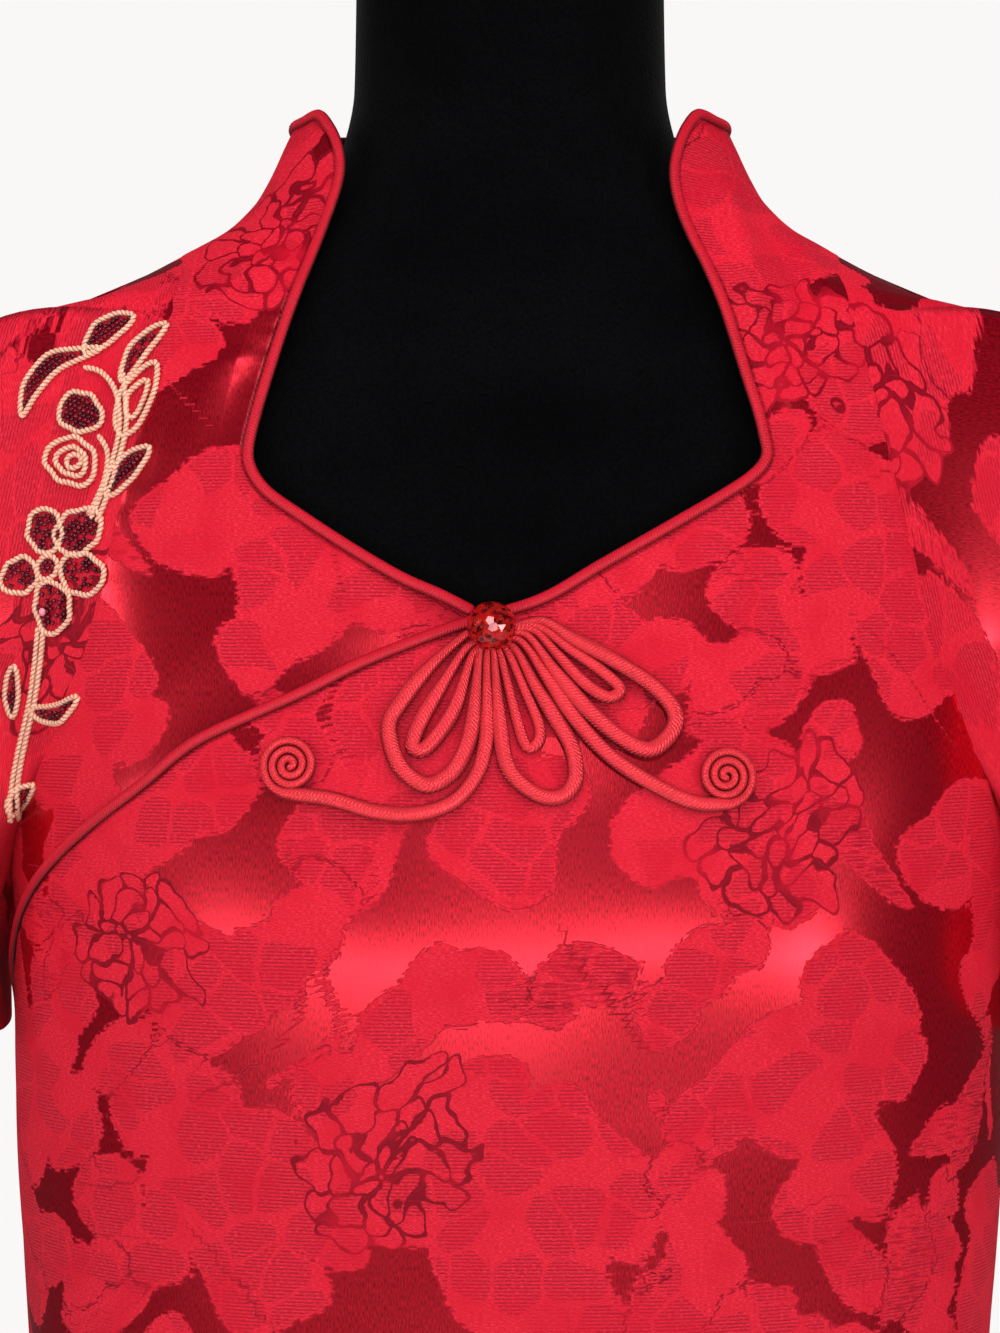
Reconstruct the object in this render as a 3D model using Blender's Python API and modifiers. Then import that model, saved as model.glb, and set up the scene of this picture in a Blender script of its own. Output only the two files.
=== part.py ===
"""A cheongsam dress standing on a limbless dress form with a round base.

Metres, +Z up. The origin is on the floor under the middle of the form, the front faces -Y, and the wearer's left is
+X. Every sewn piece is a thin wall cut out of one garment surface, which is a stack of rounded sections. A place on
that surface is a pair (turn, height): turn is 0 at the centre front, +90 degrees at the wearer's left side seam and
180 degrees at the centre back.
"""
import math

import bmesh
import bpy
from mathutils import Vector

# Driving sizes of the cloth
WALL = 0.0015
SEAM_GAP = 0.0003
LAYER_GAP = 0.0015
PIPING_RADIUS = 0.0019
PIPING_LIFT = 0.0002
UNDERLAP_WIDTH = 0.025
HEM_HEIGHT = 0.400
SLIT_TOP = 0.650
SLIT_HALF_OPENING = 0.005

# The garment surface, one row for each section
SECTION_COLUMNS = ("height", "half_width", "front", "back", "squareness")
SECTIONS = (
    (0.4000, 0.1760, 0.1040, 0.1060, 2.15),
    (0.5200, 0.1790, 0.1040, 0.1080, 2.15),
    (0.6800, 0.1820, 0.1050, 0.1120, 2.15),
    (0.8000, 0.1810, 0.1060, 0.1130, 2.15),
    (0.9000, 0.1690, 0.1030, 0.1000, 2.15),
    (1.0000, 0.1600, 0.1000, 0.0850, 2.15),
    (1.0550, 0.1626, 0.1020, 0.0860, 2.20),
    (1.1100, 0.1652, 0.1065, 0.0920, 2.20),
    (1.1550, 0.1660, 0.1080, 0.0960, 2.25),
    (1.2000, 0.1668, 0.1030, 0.0990, 2.30),
    (1.2620, 0.1690, 0.0880, 0.0990, 2.30),
    (1.3000, 0.1720, 0.0790, 0.0940, 2.25),
    (1.3350, 0.1760, 0.0700, 0.0870, 2.15),
    (1.3550, 0.1760, 0.0645, 0.0820, 2.05),
    (1.3655, 0.1690, 0.0620, 0.0790, 2.00),
    (1.3763, 0.1364, 0.0600, 0.0760, 2.00),
    (1.3830, 0.1181, 0.0585, 0.0740, 2.00),
    (1.3898, 0.1051, 0.0575, 0.0725, 2.00),
    (1.3959, 0.0946, 0.0565, 0.0710, 2.00),
    (1.4060, 0.0848, 0.0550, 0.0685, 2.00),
    (1.4195, 0.0777, 0.0530, 0.0645, 2.00),
    (1.4331, 0.0720, 0.0515, 0.0605, 2.00),
    (1.4480, 0.0695, 0.0505, 0.0585, 2.00),
)

# The dress form under the cloth, with the same columns
FORM_SECTIONS = (
    (0.7600, 0.1560, 0.0880, 0.0950, 2.10),
    (0.8000, 0.1600, 0.0900, 0.1000, 2.10),
    (0.8800, 0.1510, 0.0860, 0.0890, 2.10),
    (1.0000, 0.1270, 0.0800, 0.0690, 2.10),
    (1.0600, 0.1400, 0.0870, 0.0740, 2.15),
    (1.1550, 0.1570, 0.1000, 0.0880, 2.20),
    (1.2000, 0.1600, 0.0955, 0.0920, 2.20),
    (1.2620, 0.1630, 0.0800, 0.0920, 2.20),
    (1.3000, 0.1650, 0.0715, 0.0870, 2.15),
    (1.3350, 0.1690, 0.0640, 0.0810, 2.10),
    (1.3525, 0.1660, 0.0595, 0.0770, 2.00),
    (1.3625, 0.1570, 0.0570, 0.0745, 2.00),
    (1.3747, 0.1330, 0.0550, 0.0715, 2.00),
    (1.3815, 0.1145, 0.0540, 0.0695, 2.00),
    (1.3870, 0.1000, 0.0530, 0.0670, 2.00),
    (1.3940, 0.0840, 0.0520, 0.0640, 2.00),
    (1.4040, 0.0690, 0.0505, 0.0590, 2.00),
    (1.4200, 0.0575, 0.0495, 0.0530, 2.00),
    (1.4430, 0.0525, 0.0490, 0.0500, 2.00),
    (1.4850, 0.0517, 0.0485, 0.0490, 2.00),
)

# Middle line of the piping round the wearer's left neckline and wing, from the point of the V upwards: x, height
NECK_EDGE_LEFT = (
    (-0.0065, 1.2645), (0.0105, 1.2702), (0.0276, 1.2802), (0.0464, 1.2909), (0.0654, 1.3020), (0.0758, 1.3090),
    (0.0803, 1.3150), (0.0795, 1.3225), (0.0778, 1.3300), (0.0742, 1.3420), (0.0707, 1.3544), (0.0674, 1.3652),
    (0.0629, 1.3766), (0.0583, 1.3867), (0.0547, 1.3962), (0.0530, 1.4047), (0.0530, 1.4115), (0.0548, 1.4190),
    (0.0577, 1.4255), (0.0618, 1.4302),
)
# The same on the wearer's right, where the corner of the neckline is lower and rounder
NECK_EDGE_RIGHT = (
    (-0.0127, 1.2664), (-0.0219, 1.2711), (-0.0344, 1.2767), (-0.0500, 1.2859), (-0.0659, 1.2963), (-0.0762, 1.3037),
    (-0.0814, 1.3108), (-0.0825, 1.3179), (-0.0799, 1.3301), (-0.0763, 1.3430), (-0.0724, 1.3561), (-0.0682, 1.3686),
    (-0.0637, 1.3808), (-0.0594, 1.3931), (-0.0562, 1.4033), (-0.0550, 1.4108), (-0.0560, 1.4180), (-0.0588, 1.4248),
    (-0.0630, 1.4302),
)
# Middle line of the placket piping, from the V down to the wearer's right side seam
PLACKET = (
    (-0.0065, 1.2645), (-0.0219, 1.2596), (-0.0453, 1.2504), (-0.0653, 1.2405), (-0.0925, 1.2284), (-0.1027, 1.2222),
    (-0.1146, 1.2124), (-0.1330, 1.1985), (-0.1480, 1.1847), (-0.1569, 1.1728), (-0.1617, 1.1617), (-0.1640, 1.1508),
)
PLACKET_FOOT = 1.1350
PLACKET_SLOPE_AT_V = 0.33
# The underlap stays under the front up to this height above the placket, then comes out to the surface over the rise
UNDERLAP_HIDDEN = 0.004
UNDERLAP_RISE = 0.030
# Width of a wing at its top and the least width of the underlap, as turns, and the step up to the wing's last row
WING_TOP_TURN = 0.045
UNDERLAP_LEAST_TURN = 0.06
WING_STEP = 0.0014
# Armhole seams, from below the shoulder to above the underarm: distance from the middle, height
ARMHOLE_TOP = 1.3893
ARMHOLE_FOOT = 1.1616
ARMHOLE_FRONT = (
    (0.1072, 1.3800), (0.1087, 1.3672), (0.1126, 1.3525), (0.1187, 1.3244), (0.1262, 1.2924), (0.1345, 1.2570),
    (0.1405, 1.2430), (0.1448, 1.2310), (0.1500, 1.2200), (0.1590, 1.2040), (0.1645, 1.1850),
)
ARMHOLE_BACK = (
    (0.1085, 1.3800), (0.1120, 1.3672), (0.1170, 1.3525), (0.1250, 1.3244), (0.1320, 1.2924), (0.1390, 1.2570),
    (0.1425, 1.2430), (0.1460, 1.2310), (0.1500, 1.2200), (0.1590, 1.2040), (0.1645, 1.1850),
)
# Top edge of the collar at its side seams and at the centre back
COLLAR_SIDE_TOP = 1.4315
COLLAR_BACK_RISE = 0.0090
COLLAR_START = 1.4050

# Rows of each cut piece: from height, to height, number of steps
FRONT_ROWS = (
    (HEM_HEIGHT, SLIT_TOP, 5), (SLIT_TOP, 1.040, 9), (1.040, PLACKET_FOOT, 4), (PLACKET_FOOT, 1.262, 14),
    (1.262, 1.355, 11), (1.355, ARMHOLE_TOP, 10), (ARMHOLE_TOP, 1.4090, 5), (1.4090, 1.4265, 4),
)
BACK_ROWS = (
    (HEM_HEIGHT, SLIT_TOP, 5), (SLIT_TOP, 1.040, 9), (1.040, PLACKET_FOOT, 3), (PLACKET_FOOT, 1.355, 15),
    (1.355, ARMHOLE_TOP, 10), (ARMHOLE_TOP, 1.4293, 7),
)
UNDERLAP_ROWS = (
    (1.1180, 1.262, 12), (1.262, 1.355, 9), (1.355, ARMHOLE_TOP, 10), (ARMHOLE_TOP, 1.4090, 4), (1.4090, 1.4265, 3),
)
FRONT_COLUMNS = 14
BACK_COLUMNS = 14
UNDERLAP_COLUMNS = 7

# Sleeve: a ring at the fall of the shoulder and the hem ring, each from its middle, towards the outer side and depth.
# Its seam ring has one gap, lift and fullness over the shoulder and another under the arm, and eases between them.
SLEEVE_COLUMNS = 30
SLEEVE_CROWDING = 0.7
SLEEVE_SEAM_STEPS = 200
SLEEVE_SHOULDER_GAP, SLEEVE_UNDERARM_GAP = 0.00135, 0.0003
SLEEVE_SHOULDER_LIFT, SLEEVE_UNDERARM_LIFT = 0.0018, 0.0006
SLEEVE_SHOULDER_FULLNESS, SLEEVE_UNDERARM_FULLNESS = 0.80, 0.35
SLEEVE_SHOULDER_DROP, SLEEVE_UNDERARM_DROP = 0.36, 0.30
UNDERARM_TOP = 1.240
UNDERARM_EASING = 0.035
UNDERARM_SPREAD = 0.30
SHOULDER_RISE = 0.0030
SLEEVE_FALL_MIDDLE = Vector((0.1885, -0.0040, 1.2310))
SLEEVE_FALL_OUT = Vector((0.0180, 0.0, 0.0840))
SLEEVE_FALL_DEPTH = 0.0620
SLEEVE_HEM_MIDDLE = Vector((0.1925, -0.0040, 1.1480))
SLEEVE_HEM_OUT = Vector((0.0230, 0.0, 0.0200))
SLEEVE_HEM_DEPTH = 0.0600
SLEEVE_CAP_ROWS = 5
SLEEVE_FALL_ROWS = 2

# Frog: x and height of the strand's middle line, and its full radius
STRAND_END_RADIUS = 0.00095
STRAND_TAPER_START = 0.010
STRAND_TAPER = 0.035
STRAND_CLEAR = 0.0004
FROG_STRANDS = {
    "frog_loop_left_outer": (0.0019, (
        (-0.0138, 1.2583), (-0.0245, 1.2488), (-0.0338, 1.2372), (-0.0373, 1.2296), (-0.0338, 1.2184),
        (-0.0259, 1.2127), (-0.0186, 1.2158), (-0.0140, 1.2230), (-0.0116, 1.2324), (-0.0098, 1.2519))),
    "frog_loop_left_inner": (0.0018, (
        (-0.0141, 1.2537), (-0.0204, 1.2440), (-0.0272, 1.2324), (-0.0299, 1.2251), (-0.0271, 1.2230),
        (-0.0226, 1.2272), (-0.0171, 1.2360), (-0.0122, 1.2510))),
    "frog_loop_middle_outer": (0.0018, (
        (-0.0052, 1.2507), (-0.0034, 1.2300), (-0.0007, 1.2173), (0.0078, 1.2098), (0.0154, 1.2094),
        (0.0194, 1.2149), (0.0183, 1.2240), (0.0134, 1.2328), (0.0072, 1.2430), (0.0017, 1.2532))),
    "frog_loop_middle_inner": (0.0013, (
        (-0.0030, 1.2510), (0.0012, 1.2342), (0.0045, 1.2246), (0.0080, 1.2254), (0.0085, 1.2309),
        (0.0045, 1.2406), (-0.0006, 1.2522))),
    "frog_loop_right_outer": (0.0019, (
        (0.0052, 1.2577), (0.0137, 1.2464), (0.0235, 1.2351), (0.0335, 1.2266), (0.0420, 1.2233),
        (0.0488, 1.2287), (0.0495, 1.2351), (0.0435, 1.2424), (0.0303, 1.2510), (0.0187, 1.2571),
        (0.0094, 1.2625))),
    "frog_loop_right_inner": (0.0015, (
        (0.0067, 1.2596), (0.0138, 1.2525), (0.0223, 1.2435), (0.0295, 1.2392), (0.0332, 1.2418),
        (0.0275, 1.2474), (0.0180, 1.2540), (0.0080, 1.2609))),
}
FROG_TAILS = {
    "frog_tail_left": (0.0016, (
        (-0.0075, 1.2510), (-0.0074, 1.2348), (-0.0078, 1.2248), (-0.0105, 1.2160), (-0.0172, 1.2080),
        (-0.0280, 1.2042), (-0.0405, 1.2046), (-0.0545, 1.2084))),
    "frog_tail_right": (0.0016, (
        (0.0037, 1.2555), (0.0110, 1.2450), (0.0195, 1.2325), (0.0306, 1.2208), (0.0450, 1.2118),
        (0.0560, 1.2072))),
}
# Spiral at the end of each tail: middle x and height, outer radius, turning sense seen from the front
SPIRALS = {"frog_tail_left": (-0.0673, 1.2185, 0.0100, -1.0), "frog_tail_right": (0.0653, 1.2153, 0.0100, 1.0)}
SPIRAL_PITCH = 0.0036
SPIRAL_TURNS = 2.0
SPIRAL_STEPS_A_TURN = 10
STRAND_STEPS = 14
FORM_COLUMNS = 26
PIPING_END_GAP = 0.0007

BUTTON_PLACE = (-0.0059, 1.2612)
BUTTON_RADIUS = 0.0075
BUTTON_LIFT = 0.0095

# Dress form and stand. Each turned profile runs down its outer side, as shares of its radius and its height.
FORM_BOTTOM = 0.760
NECK_TOP = 1.485
FORM_ROWS = ((FORM_BOTTOM, 1.335, 12), (1.335, 1.394, 9), (1.394, NECK_TOP, 7))
BASE_RADIUS = 0.170
BASE_HEIGHT = 0.014
BASE_STEPS = 40
BASE_PROFILE = ((0.0, 1.0), (0.32, 1.0), (0.82, 0.71), (0.976, 0.54), (1.0, 0.29), (1.0, 0.11), (0.991, 0.0),
                (0.0, 0.0))
POLE_RADIUS = 0.0125
POLE_STEPS = 20
FLANGE_RADIUS = 0.045
FLANGE_HEIGHT = 0.008
FLANGE_STEPS = 28
FLANGE_PROFILE = ((0.0, 1.0), (1.0, 1.0), (1.0, 0.38), (0.87, 0.0), (0.0, 0.0))
CAP_RADIUS = 0.050
CAP_HEIGHT = 0.016
CAP_STEPS = 28
CAP_PROFILE = ((0.0, 1.0), (0.5, 0.94), (0.85, 0.72), (1.0, 0.35), (1.0, 0.12), (0.96, 0.0), (0.0, 0.0))


def start_collection(name):
    """Empty the scene and open the collection that holds the object."""
    for old in list(bpy.data.objects):
        bpy.data.objects.remove(old, do_unlink=True)
    collection = bpy.data.collections.new(name)
    bpy.context.scene.collection.children.link(collection)
    return collection


PARTS = start_collection("cheongsam_dress_on_form")


def make_material(name, colour, roughness, metallic=0.0):
    material = bpy.data.materials.new(name)
    material.use_nodes = True
    shader = material.node_tree.nodes["Principled BSDF"]
    shader.inputs["Base Color"].default_value = (*colour, 1.0)
    shader.inputs["Roughness"].default_value = roughness
    shader.inputs["Metallic"].default_value = metallic
    return material


def smooth_value(table, column, height):
    """Read one column at a height, on a curve that keeps to the table's rise and fall (monotone cubic)."""
    rows = len(table)
    height = min(max(height, table[0][0]), table[-1][0])
    low = 0
    while low < rows - 2 and table[low + 1][0] < height:
        low += 1

    def slope(index):
        if index < 0 or index > rows - 2:
            return None
        return (table[index + 1][column] - table[index][column]) / (table[index + 1][0] - table[index][0])

    def tangent(index):
        before, after = slope(index - 1), slope(index)
        if before is None or after is None:
            return after if before is None else before
        return 0.0 if before * after <= 0.0 else 2.0 * before * after / (before + after)

    span = table[low + 1][0] - table[low][0]
    part = (height - table[low][0]) / span
    start, end = table[low][column], table[low + 1][column]
    square, cube = part * part, part ** 3
    return ((2 * cube - 3 * square + 1) * start + (cube - 2 * square + part) * span * tangent(low)
            + (3 * square - 2 * cube) * end + (cube - square) * span * tangent(low + 1))


def section_at(height, table=SECTIONS):
    return [smooth_value(table, column, height) for column in range(1, len(SECTION_COLUMNS))]


def surface_point(turn, height, table=SECTIONS):
    """Point of the garment surface at a turn and a height."""
    half_width, front, back, power = section_at(height, table)
    across, along = math.sin(turn), math.cos(turn)
    depth = front if along >= 0.0 else back
    scale = (abs(across) ** power + abs(along) ** power) ** (-1.0 / power)
    return Vector((half_width * across * scale, -depth * along * scale, height))


def surface_normal(turn, height):
    step = 0.0004
    across = surface_point(turn + step, height) - surface_point(turn - step, height)
    upward = surface_point(turn, height + step) - surface_point(turn, height - step)
    return across.cross(upward).normalized()


def lifted_point(place, lift):
    return surface_point(*place) + surface_normal(*place) * lift


def front_place(x, height):
    """Place (turn, height) on the front at a distance from the middle."""
    half_width, _, _, power = section_at(height)
    across = min(abs(x) / half_width, 1.0)
    return (math.copysign(math.atan2(across, (1.0 - across ** power) ** (1.0 / power)), x), height)


def back_place(x, height):
    turn, _ = front_place(x, height)
    return (math.copysign(math.pi, x) - turn, height)


def place_of(point):
    """Place on the surface that lies level with a point near it."""
    half_width, front, back, _ = section_at(point.z)
    depth = front if point.y <= 0.0 else back
    return (math.atan2(point.x / half_width, -point.y / depth), point.z)


def sideways(places, distance, lift=0.0):
    """Points of a line on the surface, moved sideways in the surface (right of its run) and outwards."""
    points = [surface_point(*place) for place in places]
    moved = []
    for index, (point, place) in enumerate(zip(points, places)):
        normal = surface_normal(*place)
        before = (point - points[index - 1]).normalized() if index else None
        after = (points[index + 1] - point).normalized() if index < len(points) - 1 else None
        run = ((before or after) + (after or before)).normalized()
        side = run.cross(normal).normalized()
        stretch = 1.0
        if before is not None and after is not None:
            stretch = 1.0 / max(before.dot(run), 0.7)
        moved.append(point + side * distance * stretch + normal * lift)
    return moved


def turn_at(line, height):
    """Turn at which a rising or falling line of places crosses a height."""
    ordered = sorted(line, key=lambda place: place[1])
    if height <= ordered[0][1]:
        return ordered[0][0]
    for low, high in zip(ordered, ordered[1:]):
        if height <= high[1]:
            part = (height - low[1]) / max(high[1] - low[1], 1e-9)
            return low[0] + (high[0] - low[0]) * part
    return ordered[-1][0]


def smooth_line(points, count):
    """Evenly spaced points of a smooth curve through the given ones (Catmull-Rom)."""
    dense = []
    last = len(points) - 1
    for index in range(last):
        p0, p1 = points[max(index - 1, 0)], points[index]
        p2, p3 = points[index + 1], points[min(index + 2, last)]
        for step in range(12):
            t = step / 12
            dense.append(0.5 * (2 * p1 + (p2 - p0) * t + (2 * p0 - 5 * p1 + 4 * p2 - p3) * t * t
                                + (3 * p1 - p0 - 3 * p2 + p3) * t ** 3))
    dense.append(points[-1])
    lengths = [0.0]
    for before, after in zip(dense, dense[1:]):
        lengths.append(lengths[-1] + (after - before).length)
    result = []
    index = 0
    for step in range(count + 1):
        target = lengths[-1] * step / count
        while index < len(lengths) - 2 and lengths[index + 1] < target:
            index += 1
        part = (target - lengths[index]) / max(lengths[index + 1] - lengths[index], 1e-9)
        result.append(dense[index].lerp(dense[index + 1], min(part, 1.0)))
    return result


def rows_of(spans):
    heights = [spans[0][0]]
    for low, high, steps in spans:
        heights += [low + (high - low) * (step + 1) / steps for step in range(steps)]
    return heights


def skin(name, rows, material, around=False, closed_ends=False):
    """Loft a sheet through rows of points, all of one length."""
    mesh = bpy.data.meshes.new(name)
    shape = bmesh.new()
    lofted = [[shape.verts.new(point) for point in row] for row in rows]
    for low, high in zip(lofted, lofted[1:]):
        for index in range(len(low) if around else len(low) - 1):
            following = (index + 1) % len(low)
            shape.faces.new((low[index], low[following], high[following], high[index]))
    if closed_ends:
        shape.faces.new(list(reversed(lofted[0])))
        shape.faces.new(lofted[-1])
    shape.normal_update()
    shape.to_mesh(mesh)
    shape.free()
    mesh.shade_smooth()
    mesh.materials.append(material)
    piece = bpy.data.objects.new(name, mesh)
    PARTS.objects.link(piece)
    return piece


def skin_wall(name, outer, inner, material):
    """Loft a wall between two like sheets of points, the outer face and the inner one, with its four edges closed."""
    mesh = bpy.data.meshes.new(name)
    shape = bmesh.new()
    faces = [[[shape.verts.new(point) for point in row] for row in sheet] for sheet in (outer, inner)]
    rows, columns = len(outer), len(outer[0])
    for row in range(rows - 1):
        for column in range(columns - 1):
            for sheet, turned_over in zip(faces, (False, True)):
                corners = [sheet[row][column], sheet[row][column + 1], sheet[row + 1][column + 1],
                           sheet[row + 1][column]]
                shape.faces.new(reversed(corners) if turned_over else corners)
    rim = [(0, column) for column in range(columns)] + [(row, columns - 1) for row in range(1, rows)]
    rim += [(rows - 1, column) for column in range(columns - 2, -1, -1)] + [(row, 0) for row in range(rows - 2, 0, -1)]
    for here, following in zip(rim, rim[1:] + rim[:1]):
        shape.faces.new([faces[1][here[0]][here[1]], faces[1][following[0]][following[1]],
                         faces[0][following[0]][following[1]], faces[0][here[0]][here[1]]])
    shape.normal_update()
    shape.to_mesh(mesh)
    shape.free()
    mesh.materials.append(material)
    PARTS.objects.link(bpy.data.objects.new(name, mesh))


def tube(name, points, radius, material, scales=None):
    """Round tube along points, with closed ends; scales thins it from place to place."""
    curve = bpy.data.curves.new(name, "CURVE")
    curve.dimensions = "3D"
    curve.bevel_depth = radius
    curve.bevel_resolution = 2
    curve.use_fill_caps = True
    spline = curve.splines.new("POLY")
    spline.points.add(len(points) - 1)
    for index, point in enumerate(points):
        spline.points[index].co = (*point, 1.0)
        spline.points[index].radius = scales[index] if scales else 1.0
    curve.materials.append(material)
    PARTS.objects.link(bpy.data.objects.new(name, curve))


def turned(name, profile, material, steps):
    """Turn a profile of (radius, height), listed top to bottom on its outer side, about the vertical axis."""
    mesh = bpy.data.meshes.new(name)
    mesh.from_pydata([(radius, 0.0, height) for radius, height in profile],
                     [(index, index + 1) for index in range(len(profile) - 1)], [])
    mesh.materials.append(material)
    piece = bpy.data.objects.new(name, mesh)
    PARTS.objects.link(piece)
    screw = piece.modifiers.new("turn", "SCREW")
    screw.steps = screw.render_steps = steps
    screw.use_merge_vertices = True
    screw.merge_threshold = 0.00001
    screw.use_smooth_shade = True


def seam_turn(height, distance, side, back=False):
    """Turn that lies a distance in front of, or behind, the side seam line."""
    _, front_depth, back_depth, _ = section_at(height)
    if back:
        return side * (math.pi / 2 + distance / back_depth)
    return side * (math.pi / 2 - distance / front_depth)


def front_depth_at(height):
    return section_at(height)[1]


def slit_opening(height):
    return SLIT_HALF_OPENING * max(SLIT_TOP - height, 0.0) / (SLIT_TOP - HEM_HEIGHT)


PIPING_INSET = PIPING_RADIUS + SEAM_GAP
HALF_GAP = SEAM_GAP / 2


def armhole_line(side, back=False):
    """Places of an armhole seam from the shoulder to the underarm."""
    chart, to_place = (ARMHOLE_BACK, back_place) if back else (ARMHOLE_FRONT, front_place)
    line = [(side * math.pi / 2, ARMHOLE_TOP)]
    line += [to_place(side * x, height) for x, height in chart]
    line.append((side * math.pi / 2, ARMHOLE_FOOT))
    return line


def cut_edge(places, distance):
    """Cut line of a panel, a distance beside the line of its piping or seam."""
    return [place_of(point) for point in sideways(places, distance)]


def outer_turn(height, side, back=False):
    """Turn of a panel's side: side seam, then armhole, then shoulder and collar seam."""
    piped = side < 0
    if ARMHOLE_FOOT <= height <= ARMHOLE_TOP:
        turn = turn_at(armhole_line(side, back), height)
        inward = 1.0 if back else -1.0
        return turn + inward * side * HALF_GAP / front_depth_at(height)
    inset = PIPING_INSET if piped and height < ARMHOLE_FOOT else HALF_GAP
    return seam_turn(height, inset + slit_opening(height), side, back)


def placket_height(x):
    """Height of the placket line at a distance from the middle."""
    line = sorted(PLACKET)
    if x <= line[0][0]:
        return PLACKET_FOOT
    for low, high in zip(line, line[1:]):
        if x <= high[0]:
            return low[1] + (high[1] - low[1]) * (x - low[0]) / (high[0] - low[0])
    return line[-1][1] + (x - line[-1][0]) * PLACKET_SLOPE_AT_V


def eased(value):
    value = min(max(value, 0.0), 1.0)
    return value * value * (3.0 - 2.0 * value)


def between(start, end, part):
    return start + (end - start) * part


def underlap_lift(place):
    """How far the underlap lies inside the garment surface: under the front, then out to the surface."""
    above = place[1] - placket_height(surface_point(*place).x)
    return -(WALL + LAYER_GAP) * (1.0 - eased((above - UNDERLAP_HIDDEN) / UNDERLAP_RISE))


FRONT_INNER_LINE = (
    [(seam_turn(height, PIPING_INSET, -1.0), height) for height in (1.100, 1.118, PLACKET_FOOT)]
    + cut_edge([front_place(x, height) for x, height in reversed(PLACKET)][:-1]
               + [front_place(x, height) for x, height in NECK_EDGE_LEFT], PIPING_INSET)
)


def front_inner_turn(height):
    """Turn of the front's free side: side seam, placket, V, neckline and wing."""
    if height <= PLACKET_FOOT:
        return outer_turn(height, -1.0)
    return turn_at(FRONT_INNER_LINE, height)


def spread_row(start, end, height, columns):
    return [(start + (end - start) * step / columns, height) for step in range(columns + 1)]


def top_row(start, end_turn, columns):
    """Last row of a wing, rising from the end of its free edge to the collar's side seam."""
    end = COLLAR_SIDE_TOP - PIPING_INSET
    return [(start[0] + (end_turn - start[0]) * step / columns, start[1] + (end - start[1]) * step / columns)
            for step in range(columns + 1)]


def front_places():
    heights = rows_of(FRONT_ROWS)
    rows = [spread_row(front_inner_turn(height), outer_turn(height, 1.0), height, FRONT_COLUMNS) for height in heights]
    rows.append(top_row((rows[-1][0][0] + WING_TOP_TURN, heights[-1] + WING_STEP), outer_turn(COLLAR_SIDE_TOP, 1.0),
                        FRONT_COLUMNS))
    return rows


UNDERLAP_EDGE = cut_edge([front_place(x, height) for x, height in NECK_EDGE_RIGHT], -PIPING_INSET)
UNDERLAP_FOOT = (
    [front_place(x, height) for x, height in ((0.0060, 1.2610), (0.0100, 1.2500), (0.0040, 1.2380))]
    + cut_edge([front_place(x, height) for x, height in PLACKET], -UNDERLAP_WIDTH)[2:-2]
)


def underlap_places():
    """Rows of the underlap from the side seam under the placket up to its wing collar."""
    inner = sorted(UNDERLAP_FOOT + UNDERLAP_EDGE, key=lambda place: place[1])
    rows = []
    for height in rows_of(UNDERLAP_ROWS):
        start = outer_turn(height, -1.0)
        end = max(turn_at(inner, height), start + UNDERLAP_LEAST_TURN)
        rows.append(spread_row(start, end, height, UNDERLAP_COLUMNS))
    last = rows[-1][-1]
    wing = top_row((last[0] - WING_TOP_TURN, last[1] + WING_STEP), outer_turn(COLLAR_SIDE_TOP, -1.0), UNDERLAP_COLUMNS)
    rows.append(list(reversed(wing)))
    return rows


def back_places():
    """Rows of the back, from the wearer's left round to the right, with the stand collar rising to the middle."""
    rows = []
    for height in rows_of(BACK_ROWS):
        start, end = outer_turn(height, 1.0, back=True), 2 * math.pi + outer_turn(height, -1.0, back=True)
        raised = max(height - COLLAR_START, 0.0) / (COLLAR_SIDE_TOP - PIPING_INSET - COLLAR_START)
        row = spread_row(start, end, height, BACK_COLUMNS)
        rows.append([(turn, height + raised * COLLAR_BACK_RISE * math.cos(turn) ** 2) for turn, height in row])
    return rows


def build_cloth(silk):
    """Front, underlap and back as walls, and the places of their rows for what is sewn on them."""
    front, underlap, back = front_places(), underlap_places(), back_places()
    for name, rows, lift in (("front_panel", front, None), ("front_underlap", underlap, underlap_lift),
                             ("back_panel", back, None)):
        outer = [[lifted_point(place, lift(place) if lift else 0.0) for place in row] for row in rows]
        inner = [[lifted_point(place, (lift(place) if lift else 0.0) - WALL) for place in row] for row in rows]
        skin_wall(name, outer, inner, silk)
    return front, underlap, back


def sleeve_ring(middle, outward, depth, angle):
    """Point of a sleeve ring: angle 0 is the outer side, 90 degrees is the front, 180 degrees is the underarm."""
    return middle + outward * math.cos(angle) + Vector((0.0, -depth * math.sin(angle), 0.0))


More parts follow.
